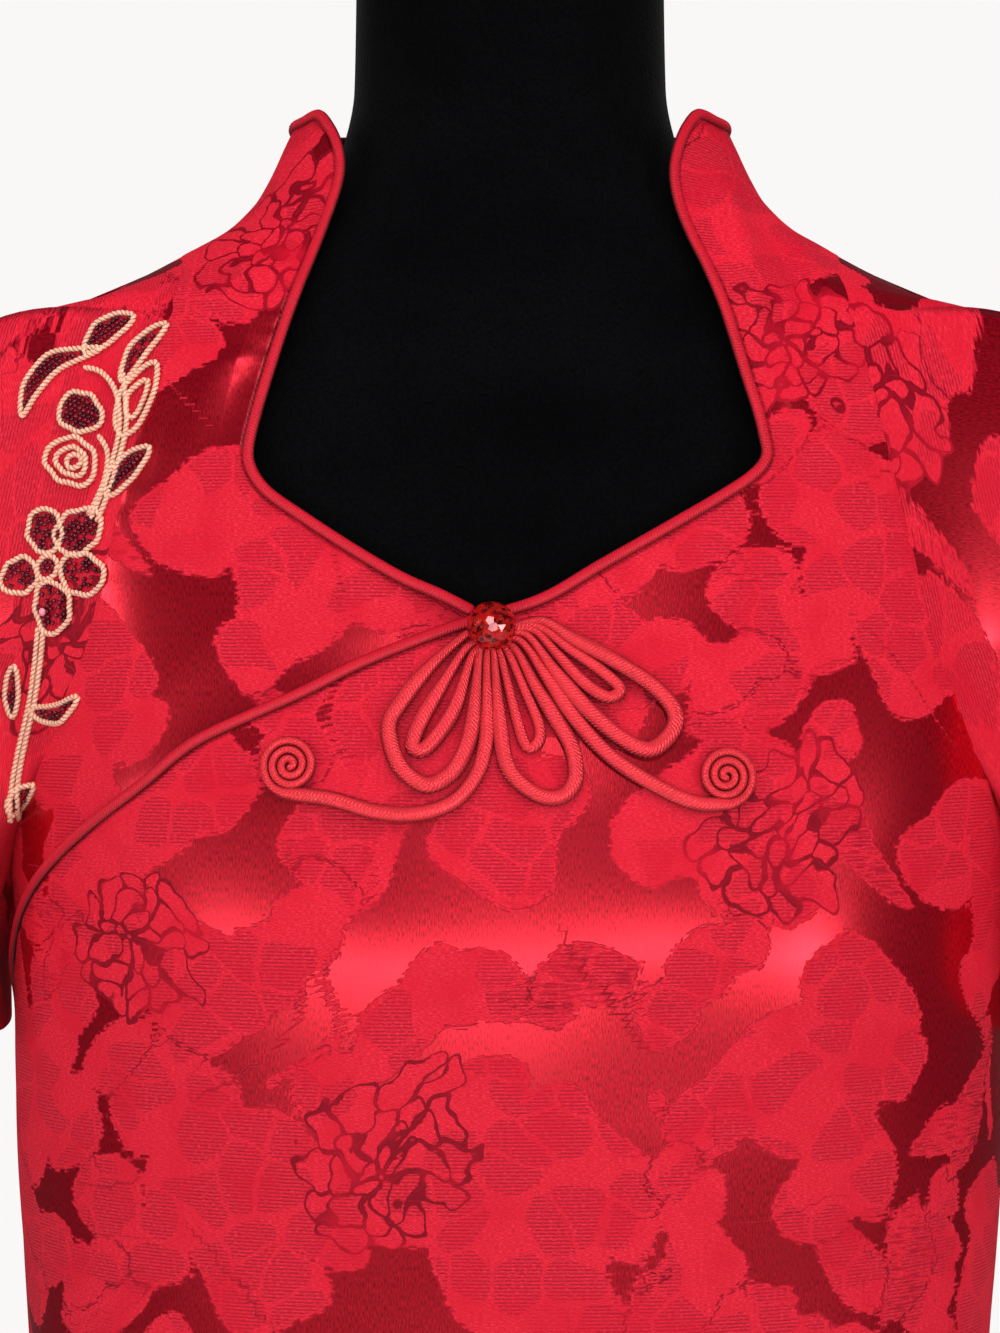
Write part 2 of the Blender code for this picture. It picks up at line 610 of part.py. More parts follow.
def build_sleeve(name, side, silk):
    """Cap sleeve from its armhole seam over the shoulder to a free hem, as one lofted tube."""
    half = SLEEVE_COLUMNS // 2
    parts = [step / half for step in range(half)]
    parts = [part - SLEEVE_CROWDING * math.sin(2 * math.pi * part) / (2 * math.pi) for part in parts]
    halves = []
    for back in (False, True):
        line = smooth_line([surface_point(*place) for place in armhole_line(side, back)], SLEEVE_SEAM_STEPS)
        halves.append([line[round(part * SLEEVE_SEAM_STEPS)] for part in parts] + [line[-1]])
    seam = halves[0][:-1] + list(reversed(halves[1]))[:-1]
    middle = (ARMHOLE_TOP + ARMHOLE_FOOT) / 2
    reach_up = (ARMHOLE_TOP - ARMHOLE_FOOT) / 2
    angles = [math.atan2(-(point.y - SLEEVE_FALL_MIDDLE.y) / SLEEVE_FALL_DEPTH, (point.z - middle) / reach_up)
              for point in seam]
    mirror = Vector((side, 1.0, 1.0))
    rows = []
    count = len(seam)
    starts, runs, spans = [], [], []
    for index, point in enumerate(seam):
        place = place_of(point)
        normal = surface_normal(*place)
        along = (seam[(index + 1) % count] - seam[index - 1]).normalized()
        into = normal.cross(along).normalized() * side
        low = eased((UNDERARM_TOP - point.z) / UNDERARM_EASING)
        lift = WALL / 2 + between(SLEEVE_SHOULDER_LIFT, SLEEVE_UNDERARM_LIFT, low)
        starts.append(point + into * between(SLEEVE_SHOULDER_GAP, SLEEVE_UNDERARM_GAP, low) + normal * lift)
        down = Vector((UNDERARM_SPREAD * side, 0.0, -1.0))
        runs.append((into * (1 - low) + down * low).normalized())
        spans.append(low)
    for row in range(SLEEVE_CAP_ROWS + SLEEVE_FALL_ROWS + 1):
        ring = []
        for index, angle in enumerate(angles):
            fall = sleeve_ring(SLEEVE_FALL_MIDDLE, SLEEVE_FALL_OUT, SLEEVE_FALL_DEPTH, angle) * mirror
            hem = sleeve_ring(SLEEVE_HEM_MIDDLE, SLEEVE_HEM_OUT, SLEEVE_HEM_DEPTH, angle) * mirror
            drop = (hem - fall).normalized()
            if row > SLEEVE_CAP_ROWS:
                ring.append(fall.lerp(hem, (row - SLEEVE_CAP_ROWS) / SLEEVE_FALL_ROWS))
                continue
            reach, low = (fall - starts[index]).length, spans[index]
            first = starts[index] + runs[index] * reach * between(SLEEVE_SHOULDER_FULLNESS,
                                                                  SLEEVE_UNDERARM_FULLNESS, low)
            first.z += SHOULDER_RISE * (1.0 - low)
            second = fall - drop * reach * between(SLEEVE_SHOULDER_DROP, SLEEVE_UNDERARM_DROP, low)
            t = row / SLEEVE_CAP_ROWS
            ring.append(starts[index] * (1 - t) ** 3 + first * 3 * t * (1 - t) ** 2
                        + second * 3 * t * t * (1 - t) + fall * t ** 3)
        rows.append(ring if side > 0 else list(reversed(ring)))
    wall = skin(name, rows, silk, around=True).modifiers.new("wall", "SOLIDIFY")
    wall.thickness = WALL
    wall.offset = 0.0
    wall.use_quality_normals = True


def build_piping(front, underlap, back, silk):
    """Three piping tubes that follow the cut edges of their panels."""
    front_edge = [row[0] for row in front if row[0][1] > (HEM_HEIGHT + SLIT_TOP) / 2 and not slit_opening(row[0][1])]
    wing = [front[-1][step] for step in range(4, FRONT_COLUMNS + 1, 4)]
    wing[-1] = (seam_turn(COLLAR_SIDE_TOP, PIPING_END_GAP, 1.0), wing[-1][1])
    tube("piping_front", sideways(front_edge + wing, -PIPING_INSET, PIPING_LIFT), PIPING_RADIUS, silk)

    start = UNDERLAP_EDGE[0][1] + PIPING_INSET + LAYER_GAP
    neck = [row[-1] for row in underlap if row[-1][1] >= start]
    wing = [underlap[-1][step] for step in (4, 2, 0)]
    wing[-1] = (seam_turn(COLLAR_SIDE_TOP, PIPING_END_GAP, -1.0), wing[-1][1])
    lifts = [underlap_lift(place) for place in neck + wing]
    points = sideways(neck + wing, PIPING_INSET, PIPING_LIFT)
    points = [point + surface_normal(*place) * lift for point, place, lift in zip(points, neck + wing, lifts)]
    tube("piping_underlap", points, PIPING_RADIUS, silk)

    collar = list(back[-1])
    collar[0] = (seam_turn(COLLAR_SIDE_TOP, PIPING_END_GAP, 1.0, back=True), collar[0][1])
    collar[-1] = (2 * math.pi + seam_turn(COLLAR_SIDE_TOP, PIPING_END_GAP, -1.0, back=True), collar[-1][1])
    tube("piping_collar_back", sideways(collar, -PIPING_INSET, PIPING_LIFT), PIPING_RADIUS, silk)


def strand_scales(points, radius):
    """Thin each end of a strand that starts at the button."""
    button = surface_point(*front_place(*BUTTON_PLACE))
    end = STRAND_END_RADIUS / radius
    return [between(end, 1.0, eased(((point - button).length - STRAND_TAPER_START) / STRAND_TAPER))
            for point in points]


def lay_strand(chart, radius, steps):
    """Middle line of a strand that lies on the front."""
    flat = smooth_line([Vector((x, height, 0.0)) for x, height in chart], steps)
    scales = strand_scales([surface_point(*front_place(point.x, point.y)) for point in flat], radius)
    return [lifted_point(front_place(point.x, point.y), radius * scale + STRAND_CLEAR)
            for point, scale in zip(flat, scales)], scales


def spiral_chart(middle_x, middle_height, radius, sense, start_angle):
    """Points of a spiral that winds inwards, from its start angle."""
    chart = []
    steps = int(SPIRAL_TURNS * SPIRAL_STEPS_A_TURN)
    for step in range(steps + 1):
        angle = start_angle + sense * 2 * math.pi * step / SPIRAL_STEPS_A_TURN
        reach = radius - SPIRAL_PITCH / 2 - SPIRAL_PITCH * step / SPIRAL_STEPS_A_TURN
        chart.append((middle_x + reach * math.cos(angle), middle_height + reach * math.sin(angle)))
    return chart


def build_frog(rouleau):
    for name, (radius, chart) in FROG_STRANDS.items():
        points, scales = lay_strand(chart, radius, STRAND_STEPS)
        tube(name, points, radius, rouleau, scales)
    for name, (radius, chart) in FROG_TAILS.items():
        middle_x, middle_height, reach, sense = SPIRALS[name]
        spiral = spiral_chart(middle_x, middle_height, reach, sense, -math.pi / 2)
        flat = smooth_line([Vector((x, height, 0.0)) for x, height in chart + (spiral[0],)], STRAND_STEPS)
        flat = flat[:-1] + [Vector((x, height, 0.0)) for x, height in spiral]
        scales = strand_scales([surface_point(*front_place(point.x, point.y)) for point in flat], radius)
        points = [lifted_point(front_place(point.x, point.y), radius * scale + STRAND_CLEAR)
                  for point, scale in zip(flat, scales)]
        tube(name, points, radius, rouleau, scales)


def build_button(bead):
    mesh = bpy.data.meshes.new("ball_button")
    shape = bmesh.new()
    bmesh.ops.create_uvsphere(shape, u_segments=16, v_segments=10, radius=BUTTON_RADIUS)
    shape.to_mesh(mesh)
    shape.free()
    mesh.shade_smooth()
    mesh.materials.append(bead)
    piece = bpy.data.objects.new("ball_button", mesh)
    piece.location = lifted_point(front_place(*BUTTON_PLACE), BUTTON_LIFT)
    PARTS.objects.link(piece)


def build_form(velvet, wood):
    """Limbless torso with its neck in one smooth solid, and the cap on the neck."""
    rings = []
    for height in rows_of(FORM_ROWS):
        rings.append([surface_point(2 * math.pi * step / FORM_COLUMNS, height, FORM_SECTIONS)
                      for step in range(FORM_COLUMNS)])
    skin("form_torso", rings, velvet, around=True, closed_ends=True)
    low = NECK_TOP + SEAM_GAP
    turned("form_neck_cap", [(CAP_RADIUS * out, low + CAP_HEIGHT * up) for out, up in CAP_PROFILE], wood, CAP_STEPS)


def build_stand(metal):
    flange_low = FORM_BOTTOM - SEAM_GAP - FLANGE_HEIGHT
    turned("stand_flange", [(FLANGE_RADIUS * out, flange_low + FLANGE_HEIGHT * up) for out, up in FLANGE_PROFILE],
           metal, FLANGE_STEPS)
    pole_top, pole_low = flange_low - SEAM_GAP, BASE_HEIGHT + SEAM_GAP
    turned("stand_pole", ((0.0, pole_top), (POLE_RADIUS, pole_top), (POLE_RADIUS, pole_low), (0.0, pole_low)),
           metal, POLE_STEPS)
    turned("stand_base", [(BASE_RADIUS * out, BASE_HEIGHT * up) for out, up in BASE_PROFILE], metal, BASE_STEPS)


silk = make_material("red_silk_jacquard", (0.60, 0.015, 0.045), 0.35)
rouleau = make_material("red_satin_rouleau", (0.70, 0.03, 0.06), 0.30)
bead = make_material("red_crystal_bead", (0.35, 0.0, 0.01), 0.10)
velvet = make_material("black_velvet", (0.008, 0.008, 0.009), 0.95)
wood = make_material("neck_cap_wood", (0.35, 0.20, 0.10), 0.45)
metal = make_material("black_stand_metal", (0.03, 0.03, 0.03), 0.40, 0.6)

front_rows, underlap_rows, back_rows = build_cloth(silk)
build_sleeve("sleeve_left", 1.0, silk)
build_sleeve("sleeve_right", -1.0, silk)
build_piping(front_rows, underlap_rows, back_rows, silk)
build_frog(rouleau)
build_button(bead)
build_form(velvet, wood)
build_stand(metal)
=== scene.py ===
"""Looks of the cheongsam on its dress form: woven silk, piping, frog, button, embroidery, form and stand."""
import math
from functools import partial

import bmesh
import bpy
import numpy as np
from mathutils import Matrix, Vector
from mathutils.bvhtree import BVHTree
from mathutils.kdtree import KDTree


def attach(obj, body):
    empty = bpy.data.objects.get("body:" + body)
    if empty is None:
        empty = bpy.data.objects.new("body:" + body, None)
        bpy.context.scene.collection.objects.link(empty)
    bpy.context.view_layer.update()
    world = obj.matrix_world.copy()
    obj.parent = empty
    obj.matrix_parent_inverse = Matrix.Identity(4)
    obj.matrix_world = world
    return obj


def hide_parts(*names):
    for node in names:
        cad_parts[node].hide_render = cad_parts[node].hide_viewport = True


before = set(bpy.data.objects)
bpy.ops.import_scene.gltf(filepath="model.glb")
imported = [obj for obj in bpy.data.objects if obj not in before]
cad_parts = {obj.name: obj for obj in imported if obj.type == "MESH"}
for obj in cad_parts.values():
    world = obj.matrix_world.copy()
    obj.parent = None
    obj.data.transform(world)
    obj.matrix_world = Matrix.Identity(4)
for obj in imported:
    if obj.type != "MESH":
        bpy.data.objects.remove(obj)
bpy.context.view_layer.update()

# Camera: level with the chest, straight in front, one metre away, framing the neck to just under the bust.
camera = bpy.data.objects.new("camera", bpy.data.cameras.new("camera"))
camera.data.lens = 80.0
camera.data.sensor_width = 36.0
camera.data.clip_start = 0.05
camera.location = (-0.0034, -1.0, 1.249)
camera.rotation_euler = (math.radians(90.0), 0.0, 0.0)
bpy.context.scene.collection.objects.link(camera)
bpy.context.scene.camera = camera

# Studio: a round pale floor in pale surroundings, and soft lights. A wide low softbox before the chest gives
# the satin its bright band, the others come from above, from both sides and from behind, and two small
# windows glint in the button.


def add_node(tree, kind, inputs=None, **settings):
    node = tree.nodes.new(kind)
    for name, value in settings.items():
        setattr(node, name, value)
    for name, value in (inputs or {}).items():
        if isinstance(value, bpy.types.NodeSocket):
            tree.links.new(value, node.inputs[name])
        else:
            node.inputs[name].default_value = value
    return node


def sums(tree, operation, first, second=0.0, third=0.0):
    return add_node(tree, "ShaderNodeMath", {0: first, 1: second, 2: third}, operation=operation).outputs[0]


def ramp(tree, value, low, high):
    """Zero at low and one at high, straight between, also where high is the lesser."""
    return add_node(tree, "ShaderNodeMapRange", {"Value": value, "From Min": low, "From Max": high}).outputs[0]


def blend_colours(tree, part, first, second):
    mix = add_node(tree, "ShaderNodeMix", data_type="RGBA")
    for socket, value in ((mix.inputs[0], part), (mix.inputs[6], first), (mix.inputs[7], second)):
        if isinstance(value, bpy.types.NodeSocket):
            tree.links.new(value, socket)
        elif isinstance(value, tuple):
            socket.default_value = (*value, 1.0)
        else:
            socket.default_value = value
    return mix.outputs[2]


def new_finish(name):
    finish = bpy.data.materials.new(name)
    finish.use_nodes = True
    return finish, finish.node_tree, finish.node_tree.nodes["Principled BSDF"]


def place_object(name, mesh, finish):
    mesh.materials.append(finish)
    piece = bpy.data.objects.new(name, mesh)
    bpy.context.scene.collection.objects.link(piece)
    return piece


plaster, plaster_tree, plaster_shader = new_finish("pale_studio_plaster")
plaster_spots = add_node(plaster_tree, "ShaderNodeTexCoord").outputs["Object"]
plaster_grain = add_node(plaster_tree, "ShaderNodeTexNoise",
                         {"Vector": plaster_spots, "Scale": 24.0, "Detail": 5.0})
plaster_tree.links.new(blend_colours(plaster_tree, plaster_grain.outputs[0], (0.80, 0.79, 0.78),
                                     (0.90, 0.89, 0.88)), plaster_shader.inputs["Base Color"])
plaster_shader.inputs["Roughness"].default_value = 0.9

FLOOR_RADIUS = 2.6
studio = bmesh.new()
bmesh.ops.create_circle(studio, cap_ends=True, segments=96, radius=FLOOR_RADIUS)
bmesh.ops.translate(studio, verts=studio.verts, vec=(0.0, 0.0, -0.0002))
studio_mesh = bpy.data.meshes.new("studio_floor")
studio.to_mesh(studio_mesh)
studio.free()
place_object("studio_floor", studio_mesh, plaster)


def softbox(name, place, aim, size, power):
    lamp = bpy.data.objects.new(name, bpy.data.lights.new(name, "AREA"))
    lamp.data.shape = "RECTANGLE"
    lamp.data.size, lamp.data.size_y = size
    lamp.data.energy = power
    lamp.location = place
    lamp.rotation_euler = (Vector(aim) - Vector(place)).to_track_quat("-Z", "Y").to_euler()
    bpy.context.scene.collection.objects.link(lamp)
    return lamp


softbox("chest_strip", (0.0, -1.7, 1.08), (0.0, -0.08, 1.14), (4.4, 0.20), 25.0)
softbox("front_softbox", (-0.05, -1.75, 2.2), (0.0, -0.1, 1.25), (0.40, 0.24), 4.5)
DIFFUSED_LAMPS = (  # name, place, power
    ("left_softbox", (-1.9, -1.2, 1.9), 13.0), ("right_softbox", (1.9, -1.2, 1.9), 16.0),
    ("overhead_softbox", (0.0, -0.7, 3.0), 26.0),
    ("rear_left_softbox", (1.3, 2.0, 2.1), 17.0), ("rear_right_softbox", (-1.3, 2.0, 2.1), 17.0),
)
for name, place, power in DIFFUSED_LAMPS:
    diffused = softbox(name, place, (0.0, 0.0, 1.25), (1.1, 1.2), power)
    diffused.visible_glossy = False
softbox("left_window", (-1.40, -0.52, 1.57), (0.0, -0.1, 1.26), (0.20, 0.20), 2.4)
softbox("right_window", (1.14, -1.06, 1.13), (0.0, -0.1, 1.26), (0.20, 0.20), 1.8)
world = bpy.data.worlds.new("studio")
world.use_nodes = True
world_tree = world.node_tree
surroundings = world_tree.nodes["Background"]
surroundings.inputs[0].default_value = (0.95, 0.97, 1.0, 1.0)
surroundings.inputs[1].default_value = 0.06
backdrop = add_node(world_tree, "ShaderNodeBackground", {0: (0.955, 0.935, 0.93, 1.0), 1: 1.0})
seen = add_node(world_tree, "ShaderNodeMixShader", {
    0: add_node(world_tree, "ShaderNodeLightPath").outputs["Is Camera Ray"], 1: surroundings.outputs[0],
    2: backdrop.outputs[0]})
world_tree.links.new(seen.outputs[0], world_tree.nodes["World Output"].inputs[0])
bpy.context.scene.world = world
bpy.context.scene.view_settings.view_transform = "Standard"

# Torso of the dress form: a hard shell with a limbless body and a neck, covered all over in black stretch
# velvet. Its shape, like that of the cloth, is a stack of rounded sections: height, half width, front, back,
# squareness.
FORM_SECTIONS = (
    (0.7600, 0.1560, 0.0880, 0.0950, 2.10), (0.8000, 0.1600, 0.0900, 0.1000, 2.10),
    (0.8800, 0.1510, 0.0860, 0.0890, 2.10), (1.0000, 0.1270, 0.0800, 0.0690, 2.10),
    (1.0600, 0.1400, 0.0870, 0.0740, 2.15), (1.1550, 0.1570, 0.1000, 0.0880, 2.20),
    (1.2000, 0.1600, 0.0955, 0.0920, 2.20), (1.2620, 0.1630, 0.0800, 0.0920, 2.20),
    (1.3000, 0.1650, 0.0715, 0.0870, 2.15), (1.3350, 0.1690, 0.0640, 0.0810, 2.10),
    (1.3525, 0.1660, 0.0595, 0.0770, 2.00), (1.3625, 0.1570, 0.0570, 0.0745, 2.00),
    (1.3747, 0.1330, 0.0550, 0.0715, 2.00), (1.3815, 0.1145, 0.0540, 0.0695, 2.00),
    (1.3870, 0.1000, 0.0530, 0.0670, 2.00), (1.3940, 0.0840, 0.0520, 0.0640, 2.00),
    (1.4040, 0.0690, 0.0505, 0.0590, 2.00), (1.4200, 0.0575, 0.0495, 0.0530, 2.00),
    (1.4430, 0.0525, 0.0490, 0.0500, 2.00), (1.4850, 0.0517, 0.0485, 0.0490, 2.00),
)


class Sections:
    """Rounded sections read on a curve that keeps to the table's rise and fall (monotone cubic)."""

    def __init__(self, table):
        rows = np.array(table)
        self.heights, self.values = rows[:, 0], rows[:, 1:]
        slopes = np.diff(self.values, axis=0) / np.diff(self.heights)[:, None]
        product = slopes[:-1] * slopes[1:]
        inner = np.where(product > 0.0, 2 * product / np.where(product > 0.0, slopes[:-1] + slopes[1:], 1.0),
                         0.0)
        self.tangents = np.vstack((slopes[:1], inner, slopes[-1:]))

    def at(self, height):
        height = np.clip(height, self.heights[0], self.heights[-1])
        low = np.clip(np.searchsorted(self.heights, height) - 1, 0, len(self.heights) - 2)
        span = (self.heights[low + 1] - self.heights[low])[..., None]
        part = (height - self.heights[low])[..., None] / span
        square, cube = part ** 2, part ** 3
        found = ((2 * cube - 3 * square + 1) * self.values[low]
                 + (cube - 2 * square + part) * span * self.tangents[low]
                 + (3 * square - 2 * cube) * self.values[low + 1]
                 + (cube - square) * span * self.tangents[low + 1])
        return found[..., 0], found[..., 1], found[..., 2], found[..., 3]

    def points(self, turn, height):
        half_width, front, back, power = self.at(height)
        across, along = np.sin(turn), np.cos(turn)
        scale = (np.abs(across) ** power + np.abs(along) ** power) ** (-1.0 / power)
        depth = np.where(along >= 0.0, front, back)
        return np.stack((half_width * across * scale, -depth * along * scale, height), axis=-1)

    def normals(self, turn, height):
        step = 0.0004
        across = self.points(turn + step, height) - self.points(turn - step, height)
        upward = self.points(turn, height + step) - self.points(turn, height - step)
        found = np.cross(across, upward)
        return found / np.linalg.norm(found, axis=-1, keepdims=True)

    def lifted(self, turn, height, lift):
        return self.points(turn, height) + self.normals(turn, height) * np.asarray(lift)[..., None]


def wrapped_grid(name, spots, finish, cloth=None, marks=None, welded=False):
    """Lay a bmesh grid over rows and columns of places, with a cloth map in metres and marks for the weave."""
    rows, columns = spots.shape[0] - 1, spots.shape[1] - 1
    shape = bmesh.new()
    bmesh.ops.create_grid(shape, x_segments=columns, y_segments=rows, size=0.5)
    mesh = bpy.data.meshes.new(name)
    shape.to_mesh(mesh)
    flat = np.empty(len(mesh.vertices) * 3)
    mesh.vertices.foreach_get("co", flat)
    flat = flat.reshape(-1, 3)
    column = np.rint((flat[:, 0] + 0.5) * columns).astype(int)
    row = np.rint((flat[:, 1] + 0.5) * rows).astype(int)
    mesh.vertices.foreach_set("co", spots[row, column].astype(np.float32).ravel())
    if cloth is not None:
        corners = np.empty(len(mesh.loops), dtype=np.int32)
        mesh.loops.foreach_get("vertex_index", corners)
        layer = mesh.uv_layers.new(name="cloth")
        layer.data.foreach_set("uv", cloth[row[corners], column[corners]].astype(np.float32).ravel())
    for label, values in (marks or {}).items():
        if values.ndim == 3:
            mesh.attributes.new(label, "FLOAT_VECTOR", "POINT").data.foreach_set(
                "vector", values[row, column].astype(np.float32).ravel())
        else:
            mesh.attributes.new(label, "FLOAT", "POINT").data.foreach_set(
                "value", values[row, column].astype(np.float32))
    shape.free()
    if welded:
        shape = bmesh.new()
        shape.from_mesh(mesh)
        bmesh.ops.remove_doubles(shape, verts=shape.verts, dist=0.000002)
        bmesh.ops.dissolve_degenerate(shape, edges=shape.edges, dist=0.000002)
        shape.to_mesh(mesh)
        shape.free()
    mesh.shade_smooth()
    return place_object(name, mesh, finish)


def belongs(piece, slot, *nodes):
    """The piece rides on the whole and stands for its nodes; its slot is not used."""
    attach(piece, "root")
    if nodes:
        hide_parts(*nodes)


velvet, velvet_tree, velvet_shader = new_finish("black_velvet_pile")
velvet_spots = add_node(velvet_tree, "ShaderNodeTexCoord").outputs["Object"]
velvet_pile = add_node(velvet_tree, "ShaderNodeTexNoise", {"Vector": velvet_spots, "Scale": 900.0,
                                                           "Detail": 3.0})
velvet_nap = add_node(velvet_tree, "ShaderNodeTexNoise", {"Vector": velvet_spots, "Scale": 22.0, "Detail": 3.0})
velvet_tone = sums(velvet_tree, "MULTIPLY", velvet_pile.outputs[0], velvet_nap.outputs[0])
velvet_tree.links.new(blend_colours(velvet_tree, velvet_tone, (0.0006, 0.0006, 0.0008),
                                    (0.0055, 0.0055, 0.0062)), velvet_shader.inputs["Base Color"])
velvet_shader.inputs["Roughness"].default_value = 1.0
velvet_shader.inputs["Specular IOR Level"].default_value = 0.02
velvet_shader.inputs["Sheen Weight"].default_value = 0.035
velvet_shader.inputs["Sheen Roughness"].default_value = 0.35
velvet_bump = add_node(velvet_tree, "ShaderNodeBump", {"Height": velvet_pile.outputs[0], "Strength": 0.5,
                                                      "Distance": 0.0006})
velvet_tree.links.new(velvet_bump.outputs[0], velvet_shader.inputs["Normal"])

form = Sections(FORM_SECTIONS)
form_heights = np.concatenate((np.linspace(0.760, 1.335, 90)[:-1], np.linspace(1.335, 1.394, 46)[:-1],
                               np.linspace(1.394, 1.485, 34)))
form_turns = np.linspace(0.0, 2 * math.pi, 145)
form_turn, form_height = np.meshgrid(form_turns, form_heights)
form_shell = form.points(form_turn, form_height)
foot = np.repeat(form_shell[:1], 6, axis=0)
foot[:, :, :2] *= np.linspace(0.0, 0.985, 6)[:, None, None]
head = np.repeat(form_shell[-1:], 5, axis=0)
head[:, :, :2] *= np.linspace(0.985, 0.0, 5)[:, None, None]
form_spots = np.concatenate((foot, form_shell[1:-1], head))
torso = wrapped_grid("velvet_torso", form_spots, velvet, welded=True)
belongs(torso, "black_velvet", "form_torso")

# Cap on the neck, and the stand: a lacquered wooden cap, and a flange, pole and round base of steel in black
# powder coat. Each is turned on a lathe, and its edges are rounded.
cap_wood, wood_tree, wood_shader = new_finish("lacquered_cap_wood")
wood_spots = add_node(wood_tree, "ShaderNodeMapping", {
    "Vector": add_node(wood_tree, "ShaderNodeTexCoord").outputs["Object"], "Scale": (10.0, 70.0, 70.0)})
wood_rings = add_node(wood_tree, "ShaderNodeTexNoise", {"Vector": wood_spots.outputs[0], "Scale": 1.0,
                                                        "Detail": 6.0, "Distortion": 1.2})
wood_tree.links.new(blend_colours(wood_tree, wood_rings.outputs[0], (0.20, 0.095, 0.035), (0.47, 0.27, 0.13)),
                    wood_shader.inputs["Base Color"])
wood_shader.inputs["Roughness"].default_value = 0.38
wood_shader.inputs["Coat Weight"].default_value = 0.4

coated_steel, steel_tree, steel_shader = new_finish("black_powder_coat")
steel_spots = add_node(steel_tree, "ShaderNodeTexCoord").outputs["Object"]
steel_grain = add_node(steel_tree, "ShaderNodeTexNoise", {"Vector": steel_spots, "Scale": 1400.0,
                                                          "Detail": 2.0})
steel_wear = add_node(steel_tree, "ShaderNodeTexNoise", {"Vector": steel_spots, "Scale": 30.0, "Detail": 5.0})
steel_tree.links.new(blend_colours(steel_tree, steel_wear.outputs[0], (0.014, 0.014, 0.015),
                                   (0.032, 0.032, 0.034)), steel_shader.inputs["Base Color"])
steel_tree.links.new(ramp(steel_tree, steel_wear.outputs[0], -0.6, 1.6), steel_shader.inputs["Roughness"])
steel_bump = add_node(steel_tree, "ShaderNodeBump", {"Height": steel_grain.outputs[0], "Strength": 0.35,
                                                    "Distance": 0.0004})
steel_tree.links.new(steel_bump.outputs[0], steel_shader.inputs["Normal"])


def turn_on_lathe(name, profile, finish, bevel):
    """Spin a profile of (radius, height), from the middle of the top down its outside to the middle of the foot."""
    shape = bmesh.new()
    run = [shape.verts.new((radius, 0.0, height)) for radius, height in profile]
    edges = [shape.edges.new(pair) for pair in zip(run, run[1:])]
    bmesh.ops.spin(shape, geom=run + edges, axis=(0.0, 0.0, 1.0), cent=(0.0, 0.0, 0.0), angle=2 * math.pi,
                   steps=96, use_merge=True)
    bmesh.ops.remove_doubles(shape, verts=shape.verts, dist=0.00001)
    rims = [edge for edge in shape.edges if len(edge.link_faces) == 2 and edge.calc_face_angle() > 0.5
            and abs(edge.verts[0].co.z - edge.verts[1].co.z) < 0.00001]
    bmesh.ops.bevel(shape, geom=rims, offset=bevel, offset_type="OFFSET", affect="EDGES", segments=3,
                    profile=0.5, material=-1)
    bmesh.ops.recalc_face_normals(shape, faces=shape.faces)
    mesh = bpy.data.meshes.new(name)
    shape.to_mesh(mesh)
    shape.free()
    mesh.shade_smooth()
    return place_object(name, mesh, finish)


NECK_TOP = 1.4853
cap = turn_on_lathe("neck_cap", ((0.0, NECK_TOP + 0.0160), (0.025, NECK_TOP + 0.0150),
                                 (0.0425, NECK_TOP + 0.0115), (0.0495, NECK_TOP + 0.0056),
                                 (0.0500, NECK_TOP + 0.0030), (0.0480, NECK_TOP), (0.0, NECK_TOP)), cap_wood,
                    0.0006)
belongs(cap, "neck_cap_wood", "form_neck_cap")
flange = turn_on_lathe("pole_flange", ((0.0, 0.7597), (0.0450, 0.7597), (0.0450, 0.7547), (0.0392, 0.7517),
                                       (0.0, 0.7517)), coated_steel, 0.0006)
belongs(flange, "black_stand_metal", "stand_flange")
pole = turn_on_lathe("stand_tube", ((0.0, 0.7514), (0.0125, 0.7514), (0.0125, 0.0143), (0.0, 0.0143)),
                     coated_steel, 0.0005)
belongs(pole, "black_stand_metal", "stand_pole")
base = turn_on_lathe("round_base", ((0.0, 0.0140), (0.0544, 0.0140), (0.1394, 0.0100), (0.1659, 0.0076),
                                    (0.1700, 0.0041), (0.1700, 0.0015), (0.1685, 0.0), (0.0, 0.0)),
                     coated_steel, 0.0007)
belongs(base, "black_stand_metal", "stand_base")

# Silk of the dress: a satin ground with a woven matte figure of peonies, sprays and leaves. The figure is
# charted here for one repeat, in millimetres, and falls half a repeat at each step to the side.
REPEAT_WIDTH, REPEAT_HEIGHT = 210.0, 380.0
BLOOMS = (  # x, y, reach, petals, turn
    (34, 48, 54, 8, 0.3), (122, 24, 40, 7, 1.1), (176, 92, 48, 8, 0.0), (92, 128, 44, 7, 2.0),
    (28, 186, 46, 8, 0.7), (132, 214, 52, 9, 1.6), (58, 282, 50, 8, 2.6), (152, 316, 46, 7, 0.9),
)
SPRAYS = (  # middle points and the size of the petal at each
    (((66, 92), (82, 82), (99, 74), (114, 62), (127, 68)), (15, 14, 13, 11, 8)),
    (((158, 148), (172, 160), (187, 167), (200, 178), (212, 192)), (16, 15, 14, 12, 9)),
    (((98, 252), (111, 266), (114, 283), (106, 298)), (14, 13, 11, 8)),
    (((0, 322), (14, 336), (30, 343), (46, 346), (60, 341)), (12, 14, 13, 11, 8)),
    (((196, 232), (190, 250), (196, 268), (206, 282)), (12, 13, 11, 8)),
    (((96, 346), (110, 356), (124, 360)), (11, 12, 9)),
)
LEAVES = (  # x, y, angle, length, width
    (84, 184, -12, 58, 21), (182, 262, 62, 50, 19), (8, 116, 64, 46, 17), (74, 352, 30, 44, 17),
    (166, 8, -38, 50, 18), (208, 302, 14, 44, 16), (108, 166, 40, 34, 13),
)
STALKS = (
    ((60, 196), (72, 205), (88, 210), (104, 206)), ((140, 118), (146, 132), (147, 148), (140, 162)),
    ((192, 132), (202, 142), (206, 154), (204, 166)), ((2, 150), (14, 138), (22, 122), (24, 104)),
    ((100, 322), (108, 312), (112, 300), (112, 290)),
)
STALK_WIDTH = 4.5
